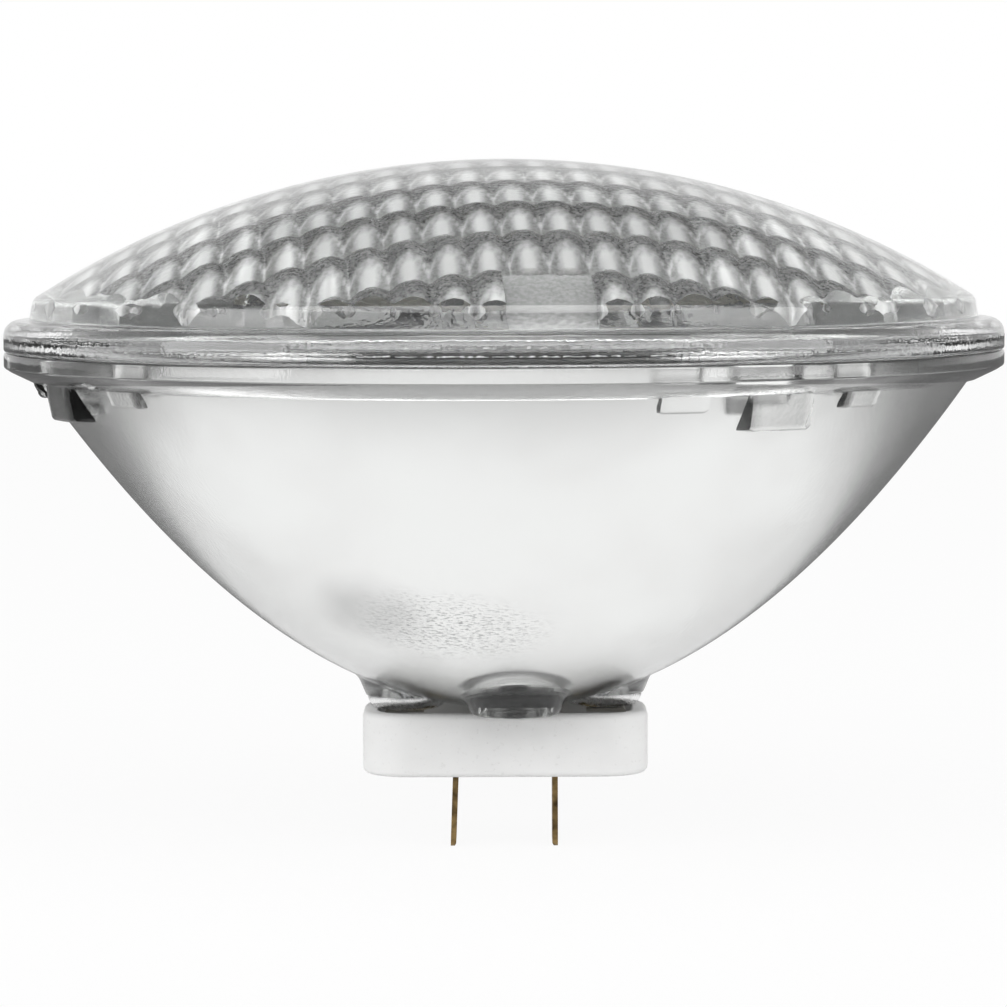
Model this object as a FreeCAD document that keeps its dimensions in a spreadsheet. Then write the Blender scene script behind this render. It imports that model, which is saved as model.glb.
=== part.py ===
"""Sealed-beam spotlight lamp, 7 inch, on a two-blade ceramic base.

Millimetres. Z points from the base to the lens, and X runs through both contact blades.
The origin is the middle of the ceramic base's flat underside, where the lamp seats in its socket.
"""
import FreeCAD, Part
import math
import os
import re

import Sketcher
from BOPTools import SplitAPI
from FreeCAD import Vector

doc = FreeCAD.newDocument("spotlight_lamp")
sheet = doc.addObject("Spreadsheet::Sheet", "Sizes")

# Driving dimensions, in millimetres, degrees or numbers of copies
DIMENSIONS = {
    # ceramic base
    "base_length": 51.0,
    "base_width": 26.0,
    "base_height": 11.2,
    "base_corner": 8.5,
    "base_wall": 3.0,
    "base_floor": 3.6,
    "base_edge": 1.1,
    "cavity_edge": 0.6,
    # contact blades
    "blade_spacing": 17.8,
    "blade_thick": 1.0,
    "blade_width": 8.0,
    "blade_reach": 13.8,
    "blade_bevel": 0.6,
    "blade_corner": 1.5,
    "blade_lean": 0.5,
    "slot_gap": 0.15,
    # straps, rivets and solder
    "foot_length": 8.5,
    "strap_thick": 0.6,
    "strap_width": 5.0,
    "strap_gap": 0.8,
    "rivet_radius": 1.5,
    "rivet_gap": 0.1,
    "rivet_head": 2.7,
    "rivet_head_high": 0.9,
    "rivet_recess": 1.3,
    "solder_high": 0.3,
    "solder_radius": 2.4,
    # glass bowl
    "glass_turn": 5.6,
    "bowl_gap": 0.1,
    "bowl_focal": 28.95,
    "bowl_wall": 4.0,
    "mirror_step": 1.55,
    # bosses and ferrules
    "boss_inset": 4.9,
    "boss_drop": 2.4,
    "boss_end_radius": 7.5,
    "boss_flare": 1.6,
    "boss_bore": 3.2,
    "ferrule_radius": 7.1,
    "ferrule_drop": 2.4,
    "ferrule_wall": 0.5,
    "ferrule_round": 1.8,
    "ferrule_gap": 0.05,
    "blank_boss_radius": 8.1,
    "blank_boss_flare": 1.2,
    "blank_boss_drop": 0.7,
    "blank_boss_round": 0.8,
    "tip_recess_radius": 5.0,
    "tip_recess_deep": 2.2,
    "tip_radius": 2.2,
    # rim
    "rim_radius": 88.9,
    "mouth_step": 6.313,
    "rim_slope": 2.4,
    "rim_step": 6.2,
    "rim_low_side": 3.1,
    "rim_high_side": 5.5,
    "rim_round": 2.6,
    "seam_bevel": 0.35,
    # lugs under the rim
    "lug_inset": 4.9,
    "lug_drop_large": 8.1,
    "lug_drop_small": 4.9,
    "lug_arc_large": 8.8,
    "lug_arc_small": 6.2,
    "lug_edge": 1.0,
    "lug_first": 27.2,
    "lug_turn_left": 98.8,
    "lug_turn_back": 127.8,
    "lug_step_first": 12.4,
    "lug_step_left": 16.5,
    "lug_step_back": 15.0,
    # lens
    "skirt_step": 4.6,
    "skirt_draft": 0.4,
    "skirt_height": 2.5,
    "skirt_wall": 4.3,
    "shoulder_round": 2.0,
    "dome_radius": 155.0,
    "lens_thick": 6.5,
    "lens_corner": 2.2,
    # lens cells
    "cell_margin": 11.4,
    "flute_pitch": 6.35,
    "flute_shift": 0.8,
    "flute_deep": 0.9,
    "row_pitch": 12.7,
    "row_shift": -3.5,
    "row_deep": 1.2,
    "panel_width": 14.4,
    # filament mount
    "post_radius": 1.1,
    "post_knee": 8.2,
    "post_neck": 5.4,
    "post_gap": 0.05,
    "coil_radius": 1.2,
    "coil_wire": 0.35,
    "coil_length": 15.0,
    "sleeve_wall": 0.5,
    "sleeve_length": 2.4,
    "sleeve_gap": 0.1,
    "bead_high": 3.5,
    "bead_width": 5.0,
    "bead_margin": 2.6,
    "bead_drop": 14.9,
    "bead_gap": 0.05,
    "support_wire": 0.35,
    "support_offset": 3.2,
    "support_gap": 0.1,
}


def fill_sheet():
    """Write each driving dimension with its name as the alias."""
    for row, (name, number) in enumerate(DIMENSIONS.items(), start=1):
        sheet.set("A%d" % row, name)
        sheet.set("B%d" % row, str(number))
        sheet.setAlias("B%d" % row, name)
    doc.recompute()


def named(text):
    """Turn a formula of dimension names into one that reads the sheet."""
    words = re.split(r"(\w+)", text)
    return "".join("Sizes." + word if word in DIMENSIONS else word for word in words)


def size(text):
    """The value of a formula of dimension names."""
    return float(sheet.evalExpression(named(text)))


ON_AXIS = "0"

# Radii that follow the rim, and how far out the bosses stand, as formulas of the driving dimensions
SKIRT_RADIUS = "(rim_radius - skirt_step)"
LUG_RADIUS = "(rim_radius - lug_inset)"
CELL_CIRCLE = "(rim_radius - cell_margin)"
BOSS_OFFSET = "(base_length / 2 - base_wall - boss_inset)"
# The bowl is as deep as its focal length and its mouth's radius make it
BOWL_DEPTH = "((rim_radius - mouth_step)^2 / (4 * bowl_focal))"
MIRROR_FOCAL = "(bowl_focal - mirror_step)"

# Heights and places that pieces share
FLOOR_TOP = "base_floor"
FOOT_TOP = "(base_floor + blade_thick)"
STRAP_TOP = "(base_floor + blade_thick + strap_thick)"
BOWL_BOTTOM = "(base_height + bowl_gap)"
RIM_FOOT = "(%s + %s)" % (BOWL_BOTTOM, BOWL_DEPTH)
SEAM = "(%s + rim_slope + rim_low_side)" % RIM_FOOT
FLANGE_TOP = "(%s + rim_high_side)" % SEAM
SKIRT_TOP = "(%s + skirt_height)" % FLANGE_TOP
MIRROR_BOTTOM = "(base_height + bowl_gap + bowl_wall)"
FOCUS = "(%s + %s)" % (MIRROR_BOTTOM, MIRROR_FOCAL)
BOSS_END = "(base_height + bowl_gap + boss_drop)"
FERRULE_BOTTOM = "(base_height + bowl_gap + boss_drop - ferrule_drop)"
FERRULE_FLOOR = "(base_height + bowl_gap + boss_drop - ferrule_drop + ferrule_wall)"
SOLDER_BOTTOM = "(base_height + bowl_gap + boss_drop - ferrule_drop - solder_high)"
BLANK_BOSS_END = "(base_height + bowl_gap + blank_boss_drop)"
BEAD_BOTTOM = "(%s - bead_drop)" % FOCUS
# How near two heights count as the same
SAME_HEIGHT = 1e-4


def plane(body, role):
    """One of a body's own origin planes."""
    for feature in body.Origin.OriginFeatures:
        if feature.Role == role:
            return feature
    raise ValueError(role)


def new_body(name):
    body = doc.addObject("PartDesign::Body", name)
    body.Label = name
    return body


def new_sketch(body, name, role, rise=None):
    """A sketch on one of the body's origin planes, or above it by a formula."""
    sketch = body.newObject("Sketcher::SketchObject", name)
    sketch.AttachmentSupport = (plane(body, role), [""])
    sketch.MapMode = "FlatFace"
    if rise:
        sketch.setExpression("AttachmentOffset.Base.z", named(rise))
    return sketch


def pin_point(sketch, label, item, end, across, along):
    """Tie one end of a sketch line or arc to two formulas, or to an axis of the sketch."""
    for kind, text, axis in (("DistanceX", across, -2), ("DistanceY", along, -1)):
        if text == ON_AXIS:
            sketch.addConstraint(Sketcher.Constraint("PointOnObject", item, end, axis))
            continue
        index = sketch.addConstraint(Sketcher.Constraint(kind, -1, 1, item, end, size(text)))
        name = "%s_%s" % (label, kind[-1].lower())
        sketch.renameConstraint(index, name)
        sketch.setExpression("Constraints." + name, named(text))


def arc_between(start, end, radius, bulge):
    """The circle arc of a radius between two points, bulging to the left (1) or right (-1).

    A sketch holds its arcs counter-clockwise, so one that bulges to the left runs backwards.
    """
    chord = end - start
    left = Vector(-chord.y, chord.x, 0).normalize()
    sag = radius - math.sqrt(max(radius ** 2 - (chord.Length / 2) ** 2, 0.0))
    middle = (start + end) * 0.5 + left * (sag * bulge)
    return Part.Arc(end, middle, start) if bulge > 0 else Part.Arc(start, middle, end)


def outline(sketch, corners):
    """Draw a closed outline. Each corner holds its two formulas and, where an arc leads on from it,
    the arc's radius and the side to which it bulges."""
    points = [Vector(size(corner[0]), size(corner[1]), 0) for corner in corners]
    for number, corner in enumerate(corners):
        start = points[number]
        end = points[(number + 1) % len(points)]
        if len(corner) == 2:
            sketch.addGeometry(Part.LineSegment(start, end), False)
            continue
        arc = arc_between(start, end, size(corner[2]), corner[3])
        sketch.addGeometry(arc, False)
    ends = []
    for number, corner in enumerate(corners):
        drawn = sketch.Geometry[number]
        forward = (drawn.StartPoint - points[number]).Length < (drawn.EndPoint - points[number]).Length
        ends.append((1, 2) if forward else (2, 1))
    for number, corner in enumerate(corners):
        following = (number + 1) % len(corners)
        sketch.addConstraint(
            Sketcher.Constraint("Coincident", number, ends[number][1], following, ends[following][0])
        )
        pin_point(sketch, "corner_%d" % number, number, ends[number][0], corner[0], corner[1])
        if len(corner) == 4:
            index = sketch.addConstraint(Sketcher.Constraint("Radius", number, size(corner[2])))
            sketch.renameConstraint(index, "arc_%d" % number)
            sketch.setExpression("Constraints.arc_%d" % number, named(corner[2]))


def circle(sketch, label, across, along, radius):
    """A circle whose centre and radius are formulas."""
    centre = Vector(size(across), size(along), 0)
    item = sketch.addGeometry(Part.Circle(centre, Vector(0, 0, 1), size(radius)), False)
    pin_point(sketch, label, item, 3, across, along)
    index = sketch.addConstraint(Sketcher.Constraint("Radius", item, size(radius)))
    sketch.renameConstraint(index, label + "_radius")
    sketch.setExpression("Constraints." + label + "_radius", named(radius))


def rectangle(sketch, label, left, right, front, back):
    """Four tied lines, counted on from what the sketch holds."""
    corners = [(left, front), (right, front), (right, back), (left, back)]
    first = sketch.GeometryCount
    for number, corner in enumerate(corners):
        following = corners[(number + 1) % 4]
        start = Vector(size(corner[0]), size(corner[1]), 0)
        end = Vector(size(following[0]), size(following[1]), 0)
        sketch.addGeometry(Part.LineSegment(start, end), False)
    for number, corner in enumerate(corners):
        following = first + (number + 1) % 4
        sketch.addConstraint(Sketcher.Constraint("Coincident", first + number, 2, following, 1))
        pin_point(sketch, "%s_%d" % (label, number), first + number, 1, corner[0], corner[1])


def revolve(body, name, corners):
    """Turn an outline of radius and height formulas once round the body's Z axis."""
    sketch = new_sketch(body, name + "_outline", "XZ_Plane")
    outline(sketch, corners)
    turned = body.newObject("PartDesign::Revolution", name)
    turned.Profile = sketch
    turned.ReferenceAxis = (sketch, ["V_Axis"])
    turned.Angle = 360.0
    doc.recompute()
    return turned


def pad(body, name, sketch, length, both_ways=False):
    padded = body.newObject("PartDesign::Pad", name)
    padded.Profile = sketch
    padded.setExpression("Length", named(length))
    if both_ways:
        padded.SideType = "Symmetric"
    doc.recompute()
    return padded


def pocket(body, name, sketch, depth=None):
    """Cut a sketch upwards, through everything or to a depth, and make sure that it does cut."""
    before = body.Shape.Volume
    cut = body.newObject("PartDesign::Pocket", name)
    cut.Profile = sketch
    cut.Reversed = True
    if depth:
        cut.setExpression("Length", named(depth))
    else:
        cut.Type = "ThroughAll"
    doc.recompute()
    if body.Shape.Volume >= before:
        raise RuntimeError(name + " cuts nothing")
    return cut


def fillet(body, name, base, radius, wanted):
    """Round the edges of a feature that a test picks."""
    edges = ["Edge%d" % (i + 1) for i, edge in enumerate(base.Shape.Edges) if wanted(edge)]
    rounded = body.newObject("PartDesign::Fillet", name)
    rounded.Base = (base, edges)
    rounded.setExpression("Radius", named(radius))
    doc.recompute()
    return rounded


def chamfer(body, name, base, length, wanted):
    """Bevel the edges of a feature that a test picks."""
    edges = ["Edge%d" % (i + 1) for i, edge in enumerate(base.Shape.Edges) if wanted(edge)]
    bevelled = body.newObject("PartDesign::Chamfer", name)
    bevelled.Base = (base, edges)
    bevelled.setExpression("Size", named(length))
    doc.recompute()
    return bevelled


def edge_at(height, edge):
    """Whether a whole edge lies at one height."""
    heights = [vertex.Z for vertex in edge.Vertexes] + [edge.CenterOfMass.z]
    return all(abs(found - height) < SAME_HEIGHT for found in heights)


def upright(edge):
    return abs(edge.tangentAt(edge.FirstParameter).z) > 0.9


def shaped(name, shape):
    """A finished shape as a document object."""
    item = doc.addObject("Part::Feature", name)
    item.Label = name
    item.Shape = shape
    return item


def turn_glass(item):
    """Turn a piece that belongs to the glass against the base, about the lamp's axis."""
    turn = FreeCAD.Rotation(Vector(0, 0, 1), size("glass_turn"))
    item.Placement = FreeCAD.Placement(Vector(0, 0, 0), turn)
    return item


def side_name(side):
    return "left" if side < 0 else "right"


def make_ceramic_base():
    """A tray with a rounded outline, slots for the blades and stepped holes for the rivets."""
    body = new_body("ceramic_base")
    block_sketch = new_sketch(body, "base_outline", "XY_Plane")
    half_long = "base_length / 2"
    half_wide = "base_width / 2"
    rectangle(block_sketch, "block", "-" + half_long, half_long, "-" + half_wide, half_wide)
    block = pad(body, "base_block", block_sketch, "base_height")
    corners = fillet(body, "base_corners", block, "base_corner", upright)
    top = size("base_height")
    chamfer(body, "base_edges", corners, "base_edge", lambda edge: edge_at(0, edge) or edge_at(top, edge))
    cavity_sketch = new_sketch(body, "cavity_outline", "XY_Plane", FLOOR_TOP)
    half_length = "(base_length / 2 - base_wall)"
    half_width = "(base_width / 2 - base_wall)"
    corner = "(base_corner - base_wall)"
    outline(cavity_sketch, [
        ("-%s + %s" % (half_length, corner), "-" + half_width),
        ("%s - %s" % (half_length, corner), "-" + half_width, corner, -1),
        (half_length, "-%s + %s" % (half_width, corner)),
        (half_length, "%s - %s" % (half_width, corner), corner, -1),
        ("%s - %s" % (half_length, corner), half_width),
        ("-%s + %s" % (half_length, corner), half_width, corner, -1),
        ("-" + half_length, "%s - %s" % (half_width, corner)),
        ("-" + half_length, "-%s + %s" % (half_width, corner), corner, -1),
    ])
    cavity = pocket(body, "cavity", cavity_sketch)
    between = size(half_length + " + base_wall / 2")

    def cavity_rim(edge):
        return edge_at(top, edge) and edge.BoundBox.XMax < between

    chamfer(body, "cavity_edges", cavity, "cavity_edge", cavity_rim)
    slots = new_sketch(body, "slot_outlines", "XY_Plane")
    holes = new_sketch(body, "rivet_holes", "XY_Plane")
    recesses = new_sketch(body, "rivet_recesses", "XY_Plane")
    for side in (-1, 1):
        name = side_name(side)
        middle = "%d * blade_spacing / 2" % side
        half_slot = "(blade_thick / 2 + slot_gap)"
        rectangle(
            slots, name, "%s - %s" % (middle, half_slot), "%s + %s" % (middle, half_slot),
            "-(blade_width / 2 + slot_gap)", "blade_width / 2 + slot_gap",
        )
        centre = "%d * (blade_spacing / 2 + blade_thick / 2 + foot_length / 2)" % side
        circle(holes, name, centre, ON_AXIS, "rivet_radius + rivet_gap")
        circle(recesses, name, centre, ON_AXIS, "rivet_head + rivet_gap * 2")
    pocket(body, "blade_slots", slots)
    pocket(body, "rivet_bores", holes)
    pocket(body, "rivet_seats", recesses, "rivet_recess")
    return body


def make_contact_blade(side):
    """A blade through the floor whose top is bent outwards into a foot."""
    name = "contact_blade_" + side_name(side)
    body = new_body(name)
    sketch = new_sketch(body, name + "_profile", "XZ_Plane")
    inner = "%d * (blade_spacing / 2 - blade_thick / 2)" % side
    outer = "%d * (blade_spacing / 2 + blade_thick / 2)" % side
    foot = "%d * (blade_spacing / 2 + blade_thick / 2 + foot_length)" % side
    lean = "%d * blade_lean" % (side if side < 0 else 0)
    outline(sketch, [
        ("%s + %s + %d * blade_bevel / 2" % (inner, lean, side), "-blade_reach"),
        ("%s + %s" % (outer, lean), "-blade_reach"),
        (outer, ON_AXIS),
        (outer, FLOOR_TOP),
        (foot, FLOOR_TOP),
        (foot, FOOT_TOP),
        (inner, FOOT_TOP),
        (inner, ON_AXIS),
        ("%s + %s" % (inner, lean), "-(blade_reach - blade_bevel)"),
    ])
    blade = pad(body, name + "_strip", sketch, "blade_width", both_ways=True)
    tip = -size("blade_reach")
    fillet(
        body, name + "_tip", blade, "blade_corner",
        lambda edge: abs(edge.tangentAt(edge.FirstParameter).y) < 0.5 and edge_at(tip, edge),
    )
    hole = new_sketch(body, name + "_hole", "XY_Plane")
    centre = "%d * (blade_spacing / 2 + blade_thick / 2 + foot_length / 2)" % side
    circle(hole, "rivet", centre, ON_AXIS, "rivet_radius + rivet_gap")
    pocket(body, name + "_bore", hole)
    return body


def make_terminal_strap(side):
    """A strip bent like a C, from under the ferrule down to the rivet."""
    name = "terminal_strap_" + side_name(side)
    body = new_body(name)
    sketch = new_sketch(body, name + "_profile", "XZ_Plane")
    back = "%d * (base_length / 2 - base_wall - strap_gap)" % side
    front = "%d * (base_length / 2 - base_wall - strap_gap - strap_thick)" % side
    toe = "%d * (blade_spacing / 2 + blade_thick / 2 + foot_length / 2 - strap_width / 2)" % side
    tongue = "%d * (%s - solder_radius - strap_thick)" % (side, BOSS_OFFSET)
    outline(sketch, [
        (toe, FOOT_TOP),
        (back, FOOT_TOP),
        (back, SOLDER_BOTTOM),
        (tongue, SOLDER_BOTTOM),
        (tongue, SOLDER_BOTTOM + " - strap_thick"),
        (front, SOLDER_BOTTOM + " - strap_thick"),
        (front, STRAP_TOP),
        (toe, STRAP_TOP),
    ])
    strip = pad(body, name + "_strip", sketch, "strap_width", both_ways=True)
    outside = abs(size(back))

    def bend(edge):
        along = abs(edge.tangentAt(edge.FirstParameter).y)
        return along > 0.9 and abs(abs(edge.CenterOfMass.x) - outside) < SAME_HEIGHT

    fillet(body, name + "_bends", strip, "strap_thick", bend)
    hole = new_sketch(body, name + "_hole", "XY_Plane")
    centre = "%d * (blade_spacing / 2 + blade_thick / 2 + foot_length / 2)" % side
    circle(hole, "rivet", centre, ON_AXIS, "rivet_radius + rivet_gap")
    pocket(body, name + "_bore", hole, STRAP_TOP + " + strap_thick")
    return body


def make_blade_rivet(side):
    """A round-headed rivet, from the seat under the floor to the top of the strap."""
    name = "blade_rivet_" + side_name(side)
    body = new_body(name)
    low = "(rivet_recess - rivet_head_high)"
    revolve(body, name + "_turned", [
        (ON_AXIS, low),
        ("rivet_head", low),
        ("rivet_head", "rivet_recess"),
        ("rivet_radius", "rivet_recess"),
        ("rivet_radius", STRAP_TOP),
        ("rivet_head", STRAP_TOP),
        ("rivet_head", STRAP_TOP + " + rivet_head_high / 3"),
        ("rivet_head * 0.55", STRAP_TOP + " + rivet_head_high"),
        (ON_AXIS, STRAP_TOP + " + rivet_head_high"),
    ])
    body.setExpression(
        "Placement.Base.x", named("%d * (blade_spacing / 2 + blade_thick / 2 + foot_length / 2)" % side)
    )
    return body


def make_solder(side):
    """A flat bead of solder between the ferrule and the strap."""
    name = "solder_" + side_name(side)
    bead = doc.addObject("Part::Cone", name)
    bead.Label = name
    bead.setExpression("Radius1", named("solder_radius"))
    bead.setExpression("Radius2", named("solder_radius * 1.15"))
    bead.setExpression("Height", named("solder_high"))
    bead.setExpression("Placement.Base.x", named("%d * %s * cos(glass_turn * 1deg)" % (side, BOSS_OFFSET)))
    bead.setExpression("Placement.Base.z", named(SOLDER_BOTTOM))
    return bead


def parabola_edge(focal, bottom, low, high):
    """A parabola's exact arc between two radii, in the XZ plane with its vertex on the axis."""
    curve = Part.BezierCurve()
    curve.setPoles([
        Vector(low, 0, bottom + low ** 2 / (4 * focal)),
        Vector((low + high) / 2, 0, bottom + low * high / (4 * focal)),
        Vector(high, 0, bottom + high ** 2 / (4 * focal)),
    ])
    return curve.toShape()


def turned_face(edges):
    return Part.Face(Part.Wire(Part.__sortEdges__(edges)))


def make_reflector():
    """The silvered glass bowl with its rim, its lugs, two bored bosses and a blank one."""
    focal = size("bowl_focal")
    bottom = size(BOWL_BOTTOM)
    mirror = size(MIRROR_FOCAL)
    mirror_bottom = size(MIRROR_BOTTOM)
    seam = size(SEAM)
    foot = size(RIM_FOOT)
    bevel = size("seam_bevel")
    rim = size("rim_radius")
    outer = 2 * math.sqrt(focal * (foot - bottom))
    inner = 2 * math.sqrt(mirror * (seam - mirror_bottom))
    low_corner = foot + size("rim_slope")
    # the bowl's section, from the axis out along the back, round the rim and in along the mirror
    path = [
        Vector(outer, 0, foot),
        Vector(rim - bevel, 0, low_corner),
        Vector(rim, 0, low_corner + bevel),
        Vector(rim, 0, seam - bevel),
        Vector(rim - bevel, 0, seam),
        Vector(inner, 0, seam),
    ]
    edges = [Part.makeLine(start, end) for start, end in zip(path, path[1:])]
    edges.append(parabola_edge(focal, bottom, 0, outer))
    edges.append(parabola_edge(mirror, mirror_bottom, 0, inner))
    edges.append(Part.makeLine(Vector(0, 0, bottom), Vector(0, 0, mirror_bottom)))
    axis = Vector(0, 0, 1)
    bowl = turned_face(edges).revolve(Vector(0, 0, 0), axis, 360)
    # what is added on the back stops at the mirror, so it is cut by the filled inside
    fill_edges = [
        parabola_edge(focal, bottom, 0, outer),
        Part.makeLine(Vector(outer, 0, foot), Vector(outer, 0, seam)),
        Part.makeLine(Vector(outer, 0, seam), Vector(0, 0, seam)),
        Part.makeLine(Vector(0, 0, seam), Vector(0, 0, bottom)),
    ]
    filled = turned_face(fill_edges).revolve(Vector(0, 0, 0), axis, 360)
    added = [make_lug(kind, angle, foot) for kind, angle in lug_places()]
    offset = size(BOSS_OFFSET)
    for direction, end, end_radius, flare in (
        (0, BOSS_END, "boss_end_radius", "boss_flare"),
        (180, BOSS_END, "boss_end_radius", "boss_flare"),
        (270, BLANK_BOSS_END, "blank_boss_radius", "blank_boss_flare"),
    ):
        centre = FreeCAD.Rotation(axis, direction).multVec(Vector(offset, 0, size(end)))
        tall = size("bowl_wall") * 2
        slope = size(flare) / size("bowl_wall")
        low = size(end_radius)
        added.append(Part.makeCone(low, low + slope * tall, tall, centre))
    glass = bowl.fuse([piece.cut(filled) for piece in added])
    bores = []
    for direction in (0, 180):
        centre = FreeCAD.Rotation(axis, direction).multVec(Vector(offset, 0, 0))
        bores.append(Part.makeCylinder(size("boss_bore"), seam / 2, centre))
        seat = size("ferrule_radius + ferrule_gap")
        bores.append(Part.makeCylinder(seat, size(BOSS_END), centre))
    front = Vector(0, -offset, size(BLANK_BOSS_END))
    bores.append(Part.makeCylinder(size("tip_recess_radius"), size("tip_recess_deep"), front))
    glass = glass.cut(bores).removeSplitter()
    rounds = [
        edge for edge in glass.Edges
        if edge_at(size(BLANK_BOSS_END), edge) and edge.Curve.Radius > size("tip_recess_radius") + 0.1
    ]
    glass = glass.makeFillet(size("blank_boss_round"), rounds)
    return turn_glass(shaped("reflector", glass))


def lug_places():
    """Three groups round the rim, each a large lug between two small ones."""
    places = []
    for turn, step in (
        ("0", "lug_step_first"), ("-lug_turn_left", "lug_step_left"), ("lug_turn_back", "lug_step_back"),
    ):
        middle = size("lug_first + " + turn)
        places.append(("small", middle - size(step)))
        places.append(("large", middle))
        places.append(("small", middle + size(step)))
    return places


def make_lug(kind, angle, rim_foot):
    """A block under the rim, from its outer face in to the bowl, with its low corner rounded."""
    radius = size(LUG_RADIUS)
    drop = size("lug_drop_" + kind)
    edge = size("lug_edge")
    top = rim_foot + size("rim_slope") * 0.6
    low = rim_foot + size("rim_slope") - drop
    inside = radius - size("rim_step") * 3
    path = [
        Vector(inside, 0, top),
        Vector(inside, 0, low),
        Vector(radius - edge * 2, 0, low),
        Vector(radius - edge, 0, low + edge),
        Vector(radius, 0, top),
    ]
    edges = [Part.makeLine(start, end) for start, end in zip(path, path[1:] + path[:1])]
    arc = size("lug_arc_" + kind)
    block = turned_face(edges).revolve(Vector(0, 0, 0), Vector(0, 0, 1), arc)
    # angles are counted from the front, -Y, towards +X
    block.rotate(Vector(0, 0, 0), Vector(0, 0, 1), angle - 90 - arc / 2)
    return block


def make_ferrule(side):
    """A drawn cup whose bottom edge is turned in two steps, butted against its boss."""
    name = "ferrule_" + side_name(side)
    body = new_body(name)
    step = "ferrule_round * (1 - sqrt(0.5))"
    revolve(body, name + "_turned", [
        (ON_AXIS, FERRULE_BOTTOM),
        ("ferrule_radius - ferrule_round", FERRULE_BOTTOM),
        ("ferrule_radius - " + step, FERRULE_BOTTOM + " + " + step),
        ("ferrule_radius", FERRULE_BOTTOM + " + ferrule_round"),
        ("ferrule_radius", BOSS_END),
        ("ferrule_radius - ferrule_wall", BOSS_END),
        ("ferrule_radius - ferrule_wall", FERRULE_BOTTOM + " + ferrule_round"),
        ("ferrule_radius - ferrule_round", FERRULE_FLOOR),
        (ON_AXIS, FERRULE_FLOOR),
    ])
    body.setExpression("Placement.Base.x", named("%d * %s * cos(glass_turn * 1deg)" % (side, BOSS_OFFSET)))
    body.setExpression("Placement.Base.y", named("%d * %s * sin(glass_turn * 1deg)" % (side, BOSS_OFFSET)))
    return body


def make_exhaust_tip():
    """The sealed-off stub of the exhaust tube, in the hollow of the blank boss."""
    body = new_body("exhaust_tip")
    roof = "(base_height + bowl_gap + blank_boss_drop + tip_recess_deep)"
    revolve(body, "tip_turned", [
        (ON_AXIS, roof + " - tip_recess_deep * 0.85"),
        ("tip_radius * 0.45", roof + " - tip_recess_deep * 0.85"),
        ("tip_radius", roof + " - tip_recess_deep * 0.3"),
        ("tip_radius", roof),
        (ON_AXIS, roof),
    ])
    body.setExpression("Placement.Base.x", named(BOSS_OFFSET + " * sin(glass_turn * 1deg)"))
    body.setExpression("Placement.Base.y", named("-%s * cos(glass_turn * 1deg)" % BOSS_OFFSET))
    return body


def dome_centre():
    """Height of the dome's centre: the dome runs tangent into the shoulder at the skirt's top."""
    radius = size("dome_radius - shoulder_round")
    across = size(SKIRT_RADIUS + " - skirt_draft - shoulder_round")
    return size(SKIRT_TOP) - math.sqrt(radius ** 2 - across ** 2)


def make_lens_blank():
    """The lens without its cells: flange, skirt, shoulder, smooth dome and a smooth inside."""
    body = new_body("lens_blank")
    skirt = "(%s - skirt_draft)" % SKIRT_RADIUS
    shoulder = "(%s - skirt_draft - shoulder_round)" % SKIRT_RADIUS
    drop = "sqrt((dome_radius - shoulder_round)^2 - %s^2)" % shoulder
    dome_middle = "(%s - %s)" % (SKIRT_TOP, drop)
    meet_x = "%s * dome_radius / (dome_radius - shoulder_round)" % shoulder
    meet_z = "%s + %s * shoulder_round / (dome_radius - shoulder_round)" % (SKIRT_TOP, drop)
    inside = "(dome_radius - lens_thick)"
    edge_z = "%s + sqrt(%s^2 - %s^2)" % (dome_middle, inside, CELL_CIRCLE)
    wall = "(%s - skirt_wall)" % SKIRT_RADIUS
    revolve(body, "lens_turned", [
        (wall, SEAM),
        ("rim_radius - seam_bevel", SEAM),
        ("rim_radius", SEAM + " + seam_bevel"),
        ("rim_radius", FLANGE_TOP + " - rim_round"),
        ("rim_radius - rim_round * (1 - sqrt(0.5))", FLANGE_TOP + " - rim_round * (1 - sqrt(0.5))"),
        ("rim_radius - rim_round", FLANGE_TOP),
        (SKIRT_RADIUS, FLANGE_TOP),
        (skirt, SKIRT_TOP, "shoulder_round", -1),
        (meet_x, meet_z, "dome_radius", -1),
        (ON_AXIS, dome_middle + " + dome_radius"),
        (ON_AXIS, "%s + %s" % (dome_middle, inside), inside, 1),
        (CELL_CIRCLE, edge_z),
        (wall, edge_z + " - lens_corner"),
    ])
    return body


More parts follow.
